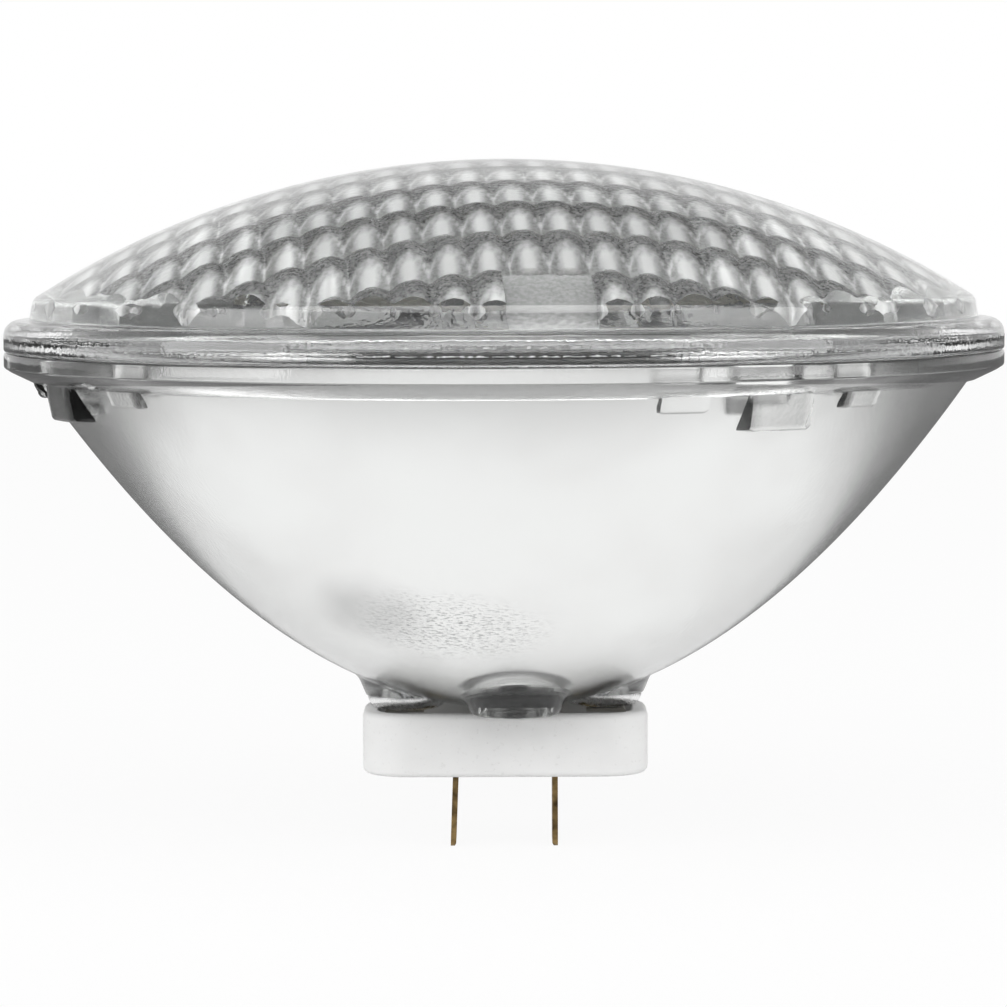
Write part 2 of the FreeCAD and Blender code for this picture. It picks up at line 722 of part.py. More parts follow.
def make_lens_cells():
    """The cutter that leaves the lens cells: a round plug whose top is two bowed slopes a cell.

    Each cell is raised by flute_deep across its middle and by row_deep halfway along its row, so the
    cells meet at the ridges that the blank's smooth inside keeps.
    """
    inside = size("dome_radius - lens_thick")
    flute = size("flute_pitch")
    row = size("row_pitch")
    reach = size(CELL_CIRCLE)
    middle = dome_centre()

    def cell_place(column, line, u, v):
        across = size("flute_shift") + (column + 0.5 + u / 2) * flute
        along = size("row_shift") + (line + 0.5 + v / 2) * row
        return across, along

    def cell_point(column, line, u, v):
        across, along = cell_place(column, line, u, v)
        ridge = middle + math.sqrt(inside ** 2 - across ** 2 - along ** 2)
        bow = size("flute_deep") * (1 - abs(u)) + size("row_deep") * (1 - abs(v))
        return Vector(across, along, ridge + bow)

    def bow_edge(column, line, v):
        """The parabola across a cell, through its two corners and its middle."""
        first, middle_point, last = [cell_point(column, line, u, v) for u in (-1, 0, 1)]
        curve = Part.BezierCurve()
        curve.setPoles([first, middle_point * 2 - (first + last) * 0.5, last])
        return curve.toShape()

    def half_cell(column, line, low, high):
        return Part.makeRuledSurface(bow_edge(column, line, low), bow_edge(column, line, high))

    columns = math.ceil((reach + abs(size("flute_shift"))) / flute)
    lines = math.ceil((reach + abs(size("row_shift"))) / row)
    patches = []
    for column in range(-columns, columns):
        for line in range(-lines, lines):
            corners = [cell_place(column, line, u, v) for u in (-1, 1) for v in (-1, 1)]
            if min(math.hypot(*corner) for corner in corners) < reach + flute / 2:
                patches.append(half_cell(column, line, -1, 0))
                patches.append(half_cell(column, line, 0, 1))
    skin = Part.makeShell(patches)
    skin.sewShape()
    low = size(SEAM)
    plug = Part.makeCylinder(reach, middle + inside + row - low, Vector(0, 0, low))
    pieces = SplitAPI.slice(plug, [skin], "Split").Solids
    cutter = min(pieces, key=lambda solid: solid.BoundBox.ZMax)
    # a plain panel stays uncut in the front row
    front = size("row_shift") - math.floor((reach + size("row_shift")) / row) * row
    width = size("panel_width")
    panel = Part.makeBox(width, row, middle + inside, Vector(-width / 2, front - row, 0))
    return shaped("lens_cells", cutter.cut(panel))


def make_lens():
    """The pressed glass lens: the blank less its cells, turned with the bowl."""
    lens = doc.addObject("Part::Cut", "lens")
    lens.Label = "lens"
    lens.Base = make_lens_blank()
    lens.Tool = make_lens_cells()
    doc.recompute()
    return turn_glass(lens)


def bent_rod(points, radius):
    """A round rod along straight runs, with mitred bends."""
    section = Part.Wire(Part.makeCircle(radius, points[0], points[1] - points[0]))
    mitred = 1
    return Part.makePolygon(points).makePipeShell([section], True, False, mitred)


def make_lead_post(side):
    """A stiff rod from the ferrule's floor through the boss and up to the filament sleeve."""
    foot = side * size(BOSS_OFFSET)
    head = side * size("(coil_length - sleeve_length) / 2")
    sleeve_bottom = size(FOCUS + " - (coil_radius + coil_wire + sleeve_gap + sleeve_wall)")
    neck = size(FOCUS + " - post_neck")
    path = [
        Vector(foot, 0, size(FERRULE_FLOOR)),
        Vector(foot, 0, size(FOCUS + " - post_knee")),
        Vector(head, 0, neck),
        Vector(head, 0, sleeve_bottom - size("post_gap")),
    ]
    rod = bent_rod(path, size("post_radius"))
    return turn_glass(shaped("lead_post_" + side_name(side), rod))


def make_bridge_bead():
    """The insulating bar: both posts pass through it, and the support wires stand in it."""
    bar = doc.addObject("Part::Box", "bead_bar")
    bar.setExpression("Length", named("(%s + bead_margin) * 2" % BOSS_OFFSET))
    bar.setExpression("Width", named("bead_width"))
    bar.setExpression("Height", named("bead_high"))
    bar.setExpression("Placement.Base.x", named("-(%s + bead_margin)" % BOSS_OFFSET))
    bar.setExpression("Placement.Base.y", named("-bead_width / 2"))
    bar.setExpression("Placement.Base.z", named(BEAD_BOTTOM))
    doc.recompute()
    rounded = doc.addObject("Part::Fillet", "bead_rounded")
    rounded.Base = bar
    radius = size("bead_width") * 0.3
    corners = [i + 1 for i, edge in enumerate(bar.Shape.Edges) if upright(edge)]
    rounded.Edges = [(corner, radius, radius) for corner in corners]
    holes = []
    for side in (-1, 1):
        for name, place, bore, low in (
            ("post_hole_", BOSS_OFFSET, "post_radius + bead_gap", BEAD_BOTTOM + " - bead_gap"),
            ("support_hole_", "support_offset", "support_wire + bead_gap", BEAD_BOTTOM + " + bead_high / 2"),
        ):
            hole = doc.addObject("Part::Cylinder", name + side_name(side))
            hole.setExpression("Radius", named(bore))
            hole.setExpression("Height", named("bead_high * 2"))
            hole.setExpression("Placement.Base.x", named("%d * %s" % (side, place)))
            hole.setExpression("Placement.Base.z", named(low))
            holes.append(hole)
    drills = doc.addObject("Part::MultiFuse", "bead_holes")
    drills.Shapes = holes
    bead = doc.addObject("Part::Cut", "bridge_bead")
    bead.Label = "bridge_bead"
    bead.Base = rounded
    bead.Tool = drills
    doc.recompute()
    return turn_glass(bead)


def make_filament():
    """The tungsten coil's envelope along X at the mirror's focus, its ends inside the sleeves."""
    length = size("coil_length - coil_wire * 2")
    bore = size("coil_radius - coil_wire")
    coil = tube_along_x(-length / 2, length, bore, size("coil_radius + coil_wire"))
    return turn_glass(shaped("filament", coil))


def tube_along_x(start, length, bore, outer):
    """A tube on the filament's axis."""
    base = Vector(start, 0, size(FOCUS))
    along = Vector(1, 0, 0)
    return Part.makeCylinder(outer, length, base, along).cut(Part.makeCylinder(bore, length, base, along))


def make_filament_sleeve(side):
    """A short tube round one end of the coil, on top of its post."""
    bore = size("coil_radius + coil_wire + sleeve_gap")
    long = size("sleeve_length")
    start = side * (size("coil_length") / 2) - (long if side > 0 else 0)
    tube = tube_along_x(start, long, bore, bore + size("sleeve_wall"))
    return turn_glass(shaped("filament_sleeve_" + side_name(side), tube))


def make_filament_support(side):
    """A support wire that stands in the bar and loops round the coil."""
    wire = size("support_wire")
    loop = size("coil_radius + coil_wire + support_gap + support_wire")
    place = side * size("support_offset")
    foot = size(BEAD_BOTTOM + " + bead_high / 2")
    focus = size(FOCUS)
    stem = Part.makeCylinder(wire, focus - loop - foot, Vector(place, 0, foot))
    ring = tube_along_x(place - wire * 0.7, wire * 1.4, loop - wire, loop + wire)
    return turn_glass(shaped("filament_support_" + side_name(side), stem.fuse(ring).removeSplitter()))


def main():
    """Build each piece, check it and write its file."""
    fill_sheet()
    pieces = [
        make_ceramic_base(), make_reflector(), make_lens(),
        make_exhaust_tip(), make_bridge_bead(), make_filament(),
    ]
    for side in (-1, 1):
        for make in (
            make_contact_blade, make_terminal_strap, make_blade_rivet, make_solder, make_ferrule,
            make_lead_post, make_filament_sleeve, make_filament_support,
        ):
            pieces.append(make(side))
    doc.recompute()
    for item in doc.Objects:
        if "Invalid" in item.State or "Error" in item.State:
            raise RuntimeError("%s: %s" % (item.Name, item.State))
    os.makedirs("parts", exist_ok=True)
    for piece in pieces:
        shape = piece.Shape
        if shape.isNull() or not shape.isValid() or not shape.Solids:
            raise RuntimeError(piece.Label + " has no valid solid")
        shape.exportStep(os.path.join("parts", piece.Label + ".step"))
        print("%-24s %d solid, %9.1f mm3" % (piece.Label, len(shape.Solids), shape.Volume))


main()
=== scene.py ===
"""The looks of a 7 inch sealed-beam spotlight lamp: pressed glass, a silvered bowl and a ceramic base.

Places and sizes are in millimetres and are turned into metres where a mesh is made.
"""

import math

import bmesh
import bpy
import numpy as np
from mathutils import Matrix, Vector


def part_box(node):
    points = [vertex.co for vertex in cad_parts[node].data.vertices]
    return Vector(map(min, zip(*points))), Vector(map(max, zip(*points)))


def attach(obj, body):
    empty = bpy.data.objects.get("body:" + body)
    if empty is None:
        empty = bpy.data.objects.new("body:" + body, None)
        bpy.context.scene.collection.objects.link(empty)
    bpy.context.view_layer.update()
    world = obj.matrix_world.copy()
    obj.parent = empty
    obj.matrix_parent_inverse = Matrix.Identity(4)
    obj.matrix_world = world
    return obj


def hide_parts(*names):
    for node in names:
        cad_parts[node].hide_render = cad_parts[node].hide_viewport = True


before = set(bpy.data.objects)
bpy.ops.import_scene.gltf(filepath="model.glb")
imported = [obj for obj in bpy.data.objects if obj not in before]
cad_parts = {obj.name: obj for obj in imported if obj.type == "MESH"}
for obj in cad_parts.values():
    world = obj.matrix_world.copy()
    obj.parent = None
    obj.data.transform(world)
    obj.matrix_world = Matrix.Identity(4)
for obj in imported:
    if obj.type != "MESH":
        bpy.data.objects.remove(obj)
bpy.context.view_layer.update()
MM = 0.001
FULL_TURN = 2 * math.pi


def extent(node):
    """Lowest and highest corner of a CAD node, in millimetres."""
    low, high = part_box(node)
    return low / MM, high / MM


LENS_TOP = extent("lens")[1].z
BASE_HIGH = extent("ceramic_base")[1]
FLOOR_HEIGHT = extent("contact_blade_left")[0].z

# the glass is turned a little against the base
GLASS_TURN = math.radians(5.6)

# lens
LENS_SEGMENTS = 384
RIM_RADIUS = 88.9
SEAM = 75.7
SEAM_GAP = 0.05
SEAM_EDGE = 0.5
RIM_ROUND = 2.6
FLANGE_TOP = 81.2
SKIRT_RADIUS = 84.3
SKIRT_DRAFT = 0.4
SKIRT_TOP = 83.7
SKIRT_FOOT_ROUND = 0.5
SKIRT_INSIDE = 80.0
SHOULDER_ROUND = 2.0
SEAM_SLOPE = 0.3
DOME_STEPS = 30
DOME_RADIUS = 155.0
DOME_CENTRE = LENS_TOP - DOME_RADIUS
RIDGE_RADIUS = 147.7
CELL_CIRCLE = 77.5
# the foot of the grid, where it meets the skirt's inside: the drop of its edge, and a step out and down
FOOT_DROP = 0.02
FOOT_OUT = 0.4
FOOT_DOWN = 0.3
LENS_CORNER = 2.2
# the soft corner below it: inwards from the skirt's inside, and up
WALL_CORNER = ((0.5, 0.45), (0.1, -0.1), (0.0, -0.8))
FLUTE_PITCH = 6.35
FLUTE_SHIFT = 0.8
FLUTE_DEEP = 2.7
FLUTE_SOFT = 0.8
FLUTE_STEPS = 14
ROW_PITCH = 12.7
ROW_SHIFT = -3.5
ROW_DEEP = 3.2
ROW_SOFT = 0.15
ROW_STEPS = 16
PANEL_WIDTH = 14.4
PANEL_ROWS = 5
PANEL_BACK = ROW_SHIFT - PANEL_ROWS * ROW_PITCH
# how clear the pressed skin of the cells is, and how light its painted shade and painted highlights are in
# its zones
CELL_CLEAR = 0.5
ARCH_PAINTED_SHADE = 0.26
LINE_PAINTED_HIGHLIGHT = 0.8
CORNER_PAINTED_SHADE = 0.48
PANEL_PAINTED_SHADE = 0.55
# where the painted shade and painted highlights lie in a cell that runs from -1 to 1 across and along
PAINTED_ARCH_PLACE = -0.1
PAINTED_ARCH_BEND = 0.5
PAINTED_ARCH_SOFT = 0.24
PAINTED_LINE_BELOW = 0.16
PAINTED_LINE_WIDTH = 0.09
PAINTED_SPOT_PLACE = -0.75
PAINTED_SPOT_ACROSS = 0.55
PAINTED_SPOT_ALONG = 0.45
PAINTED_SPOT_FULL = 2.2
PAINTED_SPOT_FADE = 2.0

# reflector
BOWL_SEGMENTS = 288
BOWL_STEPS = 48
BOWL_BOTTOM = 11.3
BOWL_FOCAL = 28.95
MIRROR_BOTTOM = 15.3
MIRROR_FOCAL = 27.4
RIM_FOOT = 70.2
RIM_LOW = 72.6
RIM_EDGE = 0.6
RIM_EDGE_RISE = 0.75
# the flange's underside rises from the bowl to the rim, between a step out and a step in from the edge
FLANGE_OUT = 1.6
FLANGE_INSET = 1.2
FLANGE_RISE = 0.35
MIRROR_LIP = 0.3
MIRROR_NEAR = 0.6
# where the mirror is specked and stained, low on the front's left
SPECK_CENTRE = (-12.0, -43.0, 30.0)
SPECK_REACH = (24.0, 16.0, 11.0)
STAIN_CENTRE = (-22.0, -40.0, 34.0)
STAIN_REACH = (13.0, 16.0, 11.0)

# bosses on the bowl's back, and the cups on two of them
BOSS_OFFSET = 17.6
BOSS_IN_WALL = 1.8
BOSS_END = 13.7
BOSS_END_RADIUS = 7.5
BOSS_SLOPE = 0.4
BOSS_FLARE = 0.6
BOSS_ROUND = 0.1
BOSS_BORE = 3.2
BOSS_BORE_TOP = 30.0
# the levels of a boss, as shares of its way up to the bowl, and where its flare starts
BOSS_LEVELS = (0.35, 0.6, 0.75, 0.85, 0.92, 0.97, 1.0)
FLARE_START = 0.6
FERRULE_RADIUS = 7.1
FERRULE_BOTTOM = 11.3
FERRULE_WALL = 0.5
FERRULE_ROUND = 2.2
FERRULE_GAP = 0.02
FERRULE_CLEARANCE = 0.05
BLANK_END = 12.0
BLANK_RADIUS = 8.0
BLANK_SLOPE = 0.3
BLANK_FLARE = 1.3
BLANK_ROUND = 0.8
# the bosses' glass is greyed with painted shade, below this height and this far outside the bowl's wall
PAINTED_SHADE_TOP = 30.0
PAINTED_SHADE_OUTSIDE = 0.3
TIP_RECESS = 5.0
TIP_RECESS_TOP = 14.2

# lugs under the rim: how far down, how wide and at which angle, from the front towards +X
LUG_RADIUS = 84.0
LUG_EDGE = 1.0
LUG_DRAFT = 0.4
LUG_FOOT_INSET = 1.0
LUG_IN_WALL = 2.2
LUG_IN_RIM = 1.6
# the lug's ends are rounded over this many degrees, by this much
LUG_END = 0.7
LUG_END_ROUND = 0.9
LUG_KINDS = {"large": (8.1, 8.8), "small": (4.9, 6.2)}
LUG_FIRST = 27.2
# each group's turn from the first one, and the step from its large lug to its small ones
LUG_GROUPS = ((0.0, 12.4), (-98.8, 16.5), (127.8, 15.0))

# ceramic base
BASE_CORNER = 8.5
BASE_EDGE = 1.1
BASE_WALL = 3.0
BASE_FLOOR = 3.6
CAVITY_EDGE = 0.6
# the soft corner at the tray's inner foot: inwards from the wall, and up from the floor
TRAY_CORNER = ((0.0, 0.6), (0.2, 0.15), (0.8, 0.0))
TRAY_MIDDLE = 1.6
SMALLEST_CORNER = 0.5
BLADE_SPACING = 17.8
SLOT_LENGTH = 8.3
SLOT_WIDTH = 1.3
RIVET_PLACE = 13.65
RIVET_BORE = 1.6
RIVET_SEAT = 2.9
RIVET_RECESS = 1.3

# filament
FOCUS = 42.7
COIL_RADIUS = 1.2
COIL_WIRE = 0.35
COIL_LENGTH = 14.3
COIL_TURNS = 9
COIL_STEPS = 24

# photograph's eye, in metres: level with the dome's upper part, 0.7 m away
EYE_DISTANCE = 0.7
EYE_HEIGHT = 0.0996
EYE_ASIDE = -0.00018
PIXELS_PER_RADIAN = 3908.0
PICTURE = 1007
EYE_LEVEL_ROW = 214.2
EYE_ROLL = math.radians(0.2)
SENSOR = 36.0

# studio light: the room all round, the backdrop behind the lamp and the light overhead
ROOM_LEVEL = 0.15
BACKDROP_LEVEL = 0.7
OVERHEAD_LEVEL = 4.0
OVERHEAD_LEAN = math.radians(30)
SIDE_LEVEL = 0.3
# where each of them fades in or out, as a part of a direction of length 1
BACKDROP_START = (0.2, 0.7)
BACKDROP_TOP = (0.35, 0.6)
OVERHEAD_START = (0.7, 0.82)
SIDE_START = (0.5, 0.8)
# the same studio as matt surfaces are lit by it
MATT_SHARE = 0.24

# soft boxes, in metres, degrees and watts: azimuth from the front, power
BOX_DISTANCE = 0.8
BOX_AIM = 0.05
BOX_WIDTH = 0.45
BOX_HEIGHT = 0.6
BOX_ELEVATION = 18
SOFT_BOXES = {"left_box": (-62, 3.1), "right_box": (58, 2.8)}

# floor, in metres: how white the camera sees it, and the pool of light on it that glass and metal show
FLOOR_HALF = 3.0
FLOOR_SHADE = 0.8
FLOOR_WHITE = 0.93
POOL_WIDER = 1.3
POOL_BACK = 0.01
POOL_LEVELS = ((0.0, 1.0), (0.104, 0.99), (0.122, 0.6), (0.14, 0.38), (0.2, 0.24), (0.6, 0.18))


def dome_height(radius, across):
    """Height of a sphere about the dome's centre, at a distance from the lamp's axis."""
    return DOME_CENTRE + np.sqrt(radius ** 2 - across ** 2)


def parabola(bottom, focal, across):
    """Height of a bowl's wall, at a distance from the lamp's axis."""
    return bottom + across ** 2 / (4 * focal)


def arc(centre_r, centre_z, radius, start, end, steps):
    """Points of a round corner of a section, between two angles in degrees, both ends included."""
    turns = np.radians(np.linspace(start, end, steps + 1))
    return [(centre_r + radius * math.cos(t), centre_z + radius * math.sin(t)) for t in turns]


def turned(point):
    """A point of the glass, turned about the lamp's axis as the glass is."""
    x, y, z = point
    across = math.cos(GLASS_TURN)
    aside = math.sin(GLASS_TURN)
    return (x * across - y * aside, x * aside + y * across, z)


def new_piece(name, points, faces, materials, crease=None):
    """An object from points in millimetres, smooth shaded, with outward faces.

    With a crease, in degrees, edges that bend more than it stay sharp.
    """
    mesh = bpy.data.meshes.new(name)
    mesh.from_pydata([tuple(c * MM for c in point) for point in points], [], faces)
    build = bmesh.new()
    build.from_mesh(mesh)
    bmesh.ops.recalc_face_normals(build, faces=build.faces)
    build.to_mesh(mesh)
    build.free()
    for material in materials:
        mesh.materials.append(material)
    mesh.shade_smooth()
    if crease:
        mesh.set_sharp_from_angle(angle=math.radians(crease))
    piece = bpy.data.objects.new(name, mesh)
    bpy.context.scene.collection.objects.link(piece)
    return piece


def revolve(section, segments):
    """Points and faces of a closed section of radius and height, turned about the lamp's axis.

    A section that starts or ends on the axis is closed there by a fan.
    """
    points = []
    faces = []
    rings = []
    for radius, height in section:
        if radius < 1e-6:
            rings.append([len(points)] * segments)
            points.append((0.0, 0.0, height))
            continue
        rings.append(list(range(len(points), len(points) + segments)))
        for step in range(segments):
            turn = FULL_TURN * step / segments
            points.append((radius * math.cos(turn), radius * math.sin(turn), height))
    pairs = list(zip(rings, rings[1:]))
    if rings[0][0] != rings[0][1]:
        pairs.append((rings[-1], rings[0]))
    for ring, following in pairs:
        for step in range(segments):
            after = (step + 1) % segments
            corners = [ring[step], ring[after], following[after], following[step]]
            faces.append(tuple(dict.fromkeys(corners)))
    return points, faces


def finished(piece, node):
    """Put a piece in place of a CAD node, riding on the lamp's one body."""
    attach(piece, "root")
    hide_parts(node)


def add_node(tree, kind, inputs=None, **settings):
    """A shader node with its settings, and its inputs as values or as sockets to link from."""
    node = tree.nodes.new(kind)
    for name, value in settings.items():
        setattr(node, name, value)
    for name, value in (inputs or {}).items():
        if isinstance(value, bpy.types.NodeSocket):
            tree.links.new(value, node.inputs[name])
        else:
            node.inputs[name].default_value = value
    return node


def math_result(tree, operation, first, second=0.0):
    """A math node's result from one or two values or sockets."""
    return add_node(tree, "ShaderNodeMath", {0: first, 1: second}, operation=operation).outputs[0]


def vector_result(tree, operation, first, second, output="Vector"):
    """A vector math node's result."""
    node = add_node(tree, "ShaderNodeVectorMath", {0: first, 1: second}, operation=operation)
    return node.outputs[output]


def noise(tree, place, scale, detail, roughness):
    """Height of a noise over a place."""
    node = add_node(tree, "ShaderNodeTexNoise", {
        "Vector": place, "Scale": scale, "Detail": detail, "Roughness": roughness,
    })
    return node.outputs["Fac"]


def remap(tree, value, start, end, first=0.0, last=1.0, **settings):
    """A value between a start and an end, moved to lie between a first and a last."""
    node = add_node(tree, "ShaderNodeMapRange", {
        "Value": value, "From Min": start, "From Max": end, "To Min": first, "To Max": last,
    }, **settings)
    return node.outputs["Result"]


def blended(tree, share, first, second):
    """A colour between two others."""
    node = add_node(tree, "ShaderNodeMix", {
        "Factor": share, "A": first, "B": (*second, 1.0),
    }, data_type="RGBA")
    return node.outputs[2]


def ramp(tree, factor, stops):
    """A colour ramp through greys or colours."""
    node = add_node(tree, "ShaderNodeValToRGB", {"Fac": factor})
    points = node.color_ramp.elements
    for number, (place, colour) in enumerate(stops):
        point = points[number] if number < len(points) and number < 2 else points.new(place)
        point.position = place
        shade = colour if isinstance(colour, tuple) else (colour, colour, colour)
        point.color = (*shade, 1.0)
    return node.outputs["Color"]


def new_material(name, **values):
    """A node material, with its shader and its tree. Names of sockets are written with underscores."""
    material = bpy.data.materials.new(name)
    material.use_nodes = True
    tree = material.node_tree
    shader = tree.nodes["Principled BSDF"]
    for socket, value in values.items():
        shader.inputs[socket.replace("_", " ")].default_value = value
    return material, tree, shader


def effect_group(name, inputs, outputs):
    """An empty shader node group with named float inputs and outputs, and its two end nodes."""
    tree = bpy.data.node_groups.new(name, "ShaderNodeTree")
    for title, value in inputs:
        socket = tree.interface.new_socket(title, in_out="INPUT", socket_type="NodeSocketFloat")
        socket.default_value = value
    for title in outputs:
        tree.interface.new_socket(title, in_out="OUTPUT", socket_type="NodeSocketFloat")
    return tree, tree.nodes.new("NodeGroupInput"), tree.nodes.new("NodeGroupOutput")


def make_mottle():
    """Uneven patches and fine specks over the lamp's own surface, for colour, gloss and relief."""
    tree, given, out = effect_group(
        "mottle", [("Patch Size", 20.0), ("Speck Size", 200.0), ("Speck Share", 0.4)], ["Patches", "Specks"]
    )
    place = add_node(tree, "ShaderNodeTexCoord")
    patches = noise(tree, place.outputs["Object"], given.outputs["Patch Size"], 2.0, 0.6)
    specks = noise(tree, place.outputs["Object"], given.outputs["Speck Size"], 3.0, 0.7)
    tree.links.new(patches, out.inputs["Patches"])
    tree.links.new(remap(tree, specks, given.outputs["Speck Share"], 0.75), out.inputs["Specks"])
    return tree


def make_flow():
    """Flow lines that pressed glass keeps, long round the rim and short up and down."""
    tree, given, out = effect_group("glass_flow", [("Length", 1.0), ("Fineness", 200.0)], ["Height"])
    place = add_node(tree, "ShaderNodeTexCoord")
    parts = add_node(tree, "ShaderNodeSeparateXYZ", {"Vector": place.outputs["Object"]})
    turn = math_result(tree, "ARCTAN2", parts.outputs["X"], parts.outputs["Y"])
    along = math_result(tree, "MULTIPLY", turn, given.outputs["Length"])
    up = math_result(tree, "MULTIPLY", parts.outputs["Z"], given.outputs["Fineness"])
    joined = add_node(tree, "ShaderNodeCombineXYZ", {"X": along, "Y": up})
    tree.links.new(noise(tree, joined.outputs[0], 1.0, 1.0, 0.6), out.inputs["Height"])
    return tree


MOTTLE = make_mottle()
FLOW = make_flow()


def place_group(tree, group, **values):
    """A shader node group with its values. Names of inputs are written with underscores."""
    node = tree.nodes.new("ShaderNodeGroup")
    node.node_tree = group
    for name, value in values.items():
        node.inputs[name.replace("_", " ")].default_value = value
    return node


def bump(tree, shader, height, strength, distance):
    """Relief on a shader, its distance in millimetres."""
    node = add_node(tree, "ShaderNodeBump", {
        "Height": height, "Strength": strength, "Distance": distance * MM,
    })
    tree.links.new(node.outputs["Normal"], shader.inputs["Normal"])


def make_lens_glass():
    """Clear pressed glass with the uneven, finely rippled surface that the press tool leaves."""
    material, tree, shader = new_material(
        "clear_pressed_glass", Transmission_Weight=1.0, IOR=1.47, Roughness=0.015,
        Base_Color=(0.975, 0.98, 0.978, 1.0),
    )
    place = add_node(tree, "ShaderNodeTexCoord").outputs["Object"]
    bump(tree, shader, noise(tree, place, 780.0, 1.0, 0.7), 0.35, 0.12)
    return material


def make_cell_skin():
    """The cells' pressed skin: half clear, half milky and mottled, with painted shade at the back of each
    cell and painted highlights in front.
    """
    material, tree, shader = new_material(
        "cell_skin_painted_light", Transmission_Weight=CELL_CLEAR, IOR=1.47, Roughness=0.04,
    )
    painted_zone = add_node(tree, "ShaderNodeAttribute", attribute_name="painted_cell_light").outputs["Fac"]
    place = add_node(tree, "ShaderNodeTexCoord").outputs["Object"]
    pits = noise(tree, place, 1300.0, 1.0, 0.7)
    uneven = remap(tree, pits, 0.35, 0.65, -0.16, 0.16)
    pitted = math_result(tree, "MULTIPLY", uneven, math_result(tree, "SUBTRACT", 1.05, painted_zone))
    # painted shade and painted highlights from the point attribute, with a mottle on top
    shade = math_result(tree, "ADD", painted_zone, pitted)
    colour = ramp(tree, shade, [(0.0, 0.02), (1.0, (0.98, 0.985, 0.98))])
    tree.links.new(colour, shader.inputs["Base Color"])
    bump(tree, shader, pits, 0.35, 0.1)
    return material


def make_bowl_glass():
    """The bowl's own glass, whose back keeps the press tool's fine grain."""
    material, tree, shader = new_material(
        "pressed_bowl_glass", Transmission_Weight=1.0, IOR=1.47, Roughness=0.03,
        Base_Color=(0.97, 0.975, 0.97, 1.0),
    )
    grain = place_group(tree, FLOW, Length=160.0, Fineness=900.0)
    bump(tree, shader, grain.outputs["Height"], 0.25, 0.1)
    return material


def make_painted_shade_glass():
    """The bosses: the bowl's glass greyed with painted shade, with a mottled skin."""
    material, tree, shader = new_material(
        "boss_glass_painted_shade", Transmission_Weight=1.0, IOR=1.47, Roughness=0.012,
    )
    mottle = place_group(tree, MOTTLE, Patch_Size=160.0, Speck_Size=1100.0, Speck_Share=0.4)
    # painted shade: the boss glass is greyed well below clear glass, darker still in the specks
    shade = ramp(tree, mottle.outputs["Specks"], [(0.0, (0.42, 0.43, 0.42)), (0.8, (0.2, 0.2, 0.2))])
    tree.links.new(shade, shader.inputs["Base Color"])
    bump(tree, shader, mottle.outputs["Specks"], 0.2, 0.05)
    return material


def spot_mask(tree, place, centre, reach):
    """1 at a centre, 0 beyond a reach along each axis, both in millimetres."""
    shifted = vector_result(tree, "SUBTRACT", place, tuple(c * MM for c in centre))
    scaled = vector_result(tree, "MULTIPLY", shifted, tuple(1.0 / (r * MM) for r in reach))
    far = add_node(tree, "ShaderNodeVectorMath", {0: scaled}, operation="LENGTH").outputs["Value"]
    return remap(tree, far, 1.0, 0.3, interpolation_type="SMOOTHSTEP")


def make_silver():
    """The aluminium mirror behind the glass: satin, with dark specks and a stain low on the left."""
    material, tree, shader = new_material("aluminium_mirror", Metallic=1.0)
    mottle = place_group(tree, MOTTLE, Patch_Size=45.0, Speck_Size=620.0, Speck_Share=0.5)
    shade = ramp(tree, mottle.outputs["Patches"], [(0.3, (0.93, 0.935, 0.93)), (0.7, (0.965, 0.965, 0.96))])
    place = add_node(tree, "ShaderNodeTexCoord").outputs["Object"]
    drawn = vector_result(tree, "MULTIPLY", place, (0.45, 1.0, 1.3))
    grains = remap(tree, noise(tree, drawn, 2400.0, 2.0, 0.65), 0.5, 0.68)
    specks = math_result(tree, "MULTIPLY", grains, spot_mask(tree, place, SPECK_CENTRE, SPECK_REACH))
    stain = spot_mask(tree, place, STAIN_CENTRE, STAIN_REACH)
    stained = math_result(tree, "MULTIPLY", stain, mottle.outputs["Patches"])
    greyed = blended(tree, stained, shade, (0.58, 0.58, 0.58))
    tree.links.new(blended(tree, specks, greyed, (0.42, 0.42, 0.42)), shader.inputs["Base Color"])
    rough = remap(tree, mottle.outputs["Patches"], 0.3, 0.7, 0.16, 0.26)
    tree.links.new(rough, shader.inputs["Roughness"])
    return material


def make_ceramic():
    """Matt white ceramic with a fine grain and a few faint grey specks."""
    material, tree, shader = new_material("white_ceramic", Roughness=0.62)
    mottle = place_group(tree, MOTTLE, Patch_Size=90.0, Speck_Size=1100.0, Speck_Share=0.6)
    clean = ramp(tree, mottle.outputs["Patches"], [(0.3, (0.82, 0.82, 0.815)), (0.7, (0.87, 0.87, 0.865))])
    faint = math_result(tree, "MULTIPLY", mottle.outputs["Specks"], 0.3)
    tree.links.new(blended(tree, faint, clean, (0.55, 0.54, 0.53)), shader.inputs["Base Color"])
    bump(tree, shader, mottle.outputs["Specks"], 0.35, 0.08)
    return material


def make_metal(name, dark, light, roughness, patch=120.0, speck=900.0, relief=0.05):
    """A metal whose colour and gloss change in patches, with fine specks."""
    material, tree, shader = new_material(name, Metallic=1.0)
    mottle = place_group(tree, MOTTLE, Patch_Size=patch, Speck_Size=speck, Speck_Share=0.5)
    shade = ramp(tree, mottle.outputs["Patches"], [(0.32, dark), (0.66, light)])
    tree.links.new(shade, shader.inputs["Base Color"])
    rough = remap(tree, mottle.outputs["Specks"], 0.0, 1.0, roughness, roughness + 0.2)
    tree.links.new(rough, shader.inputs["Roughness"])
    bump(tree, shader, mottle.outputs["Specks"], 0.4, relief)
    return material


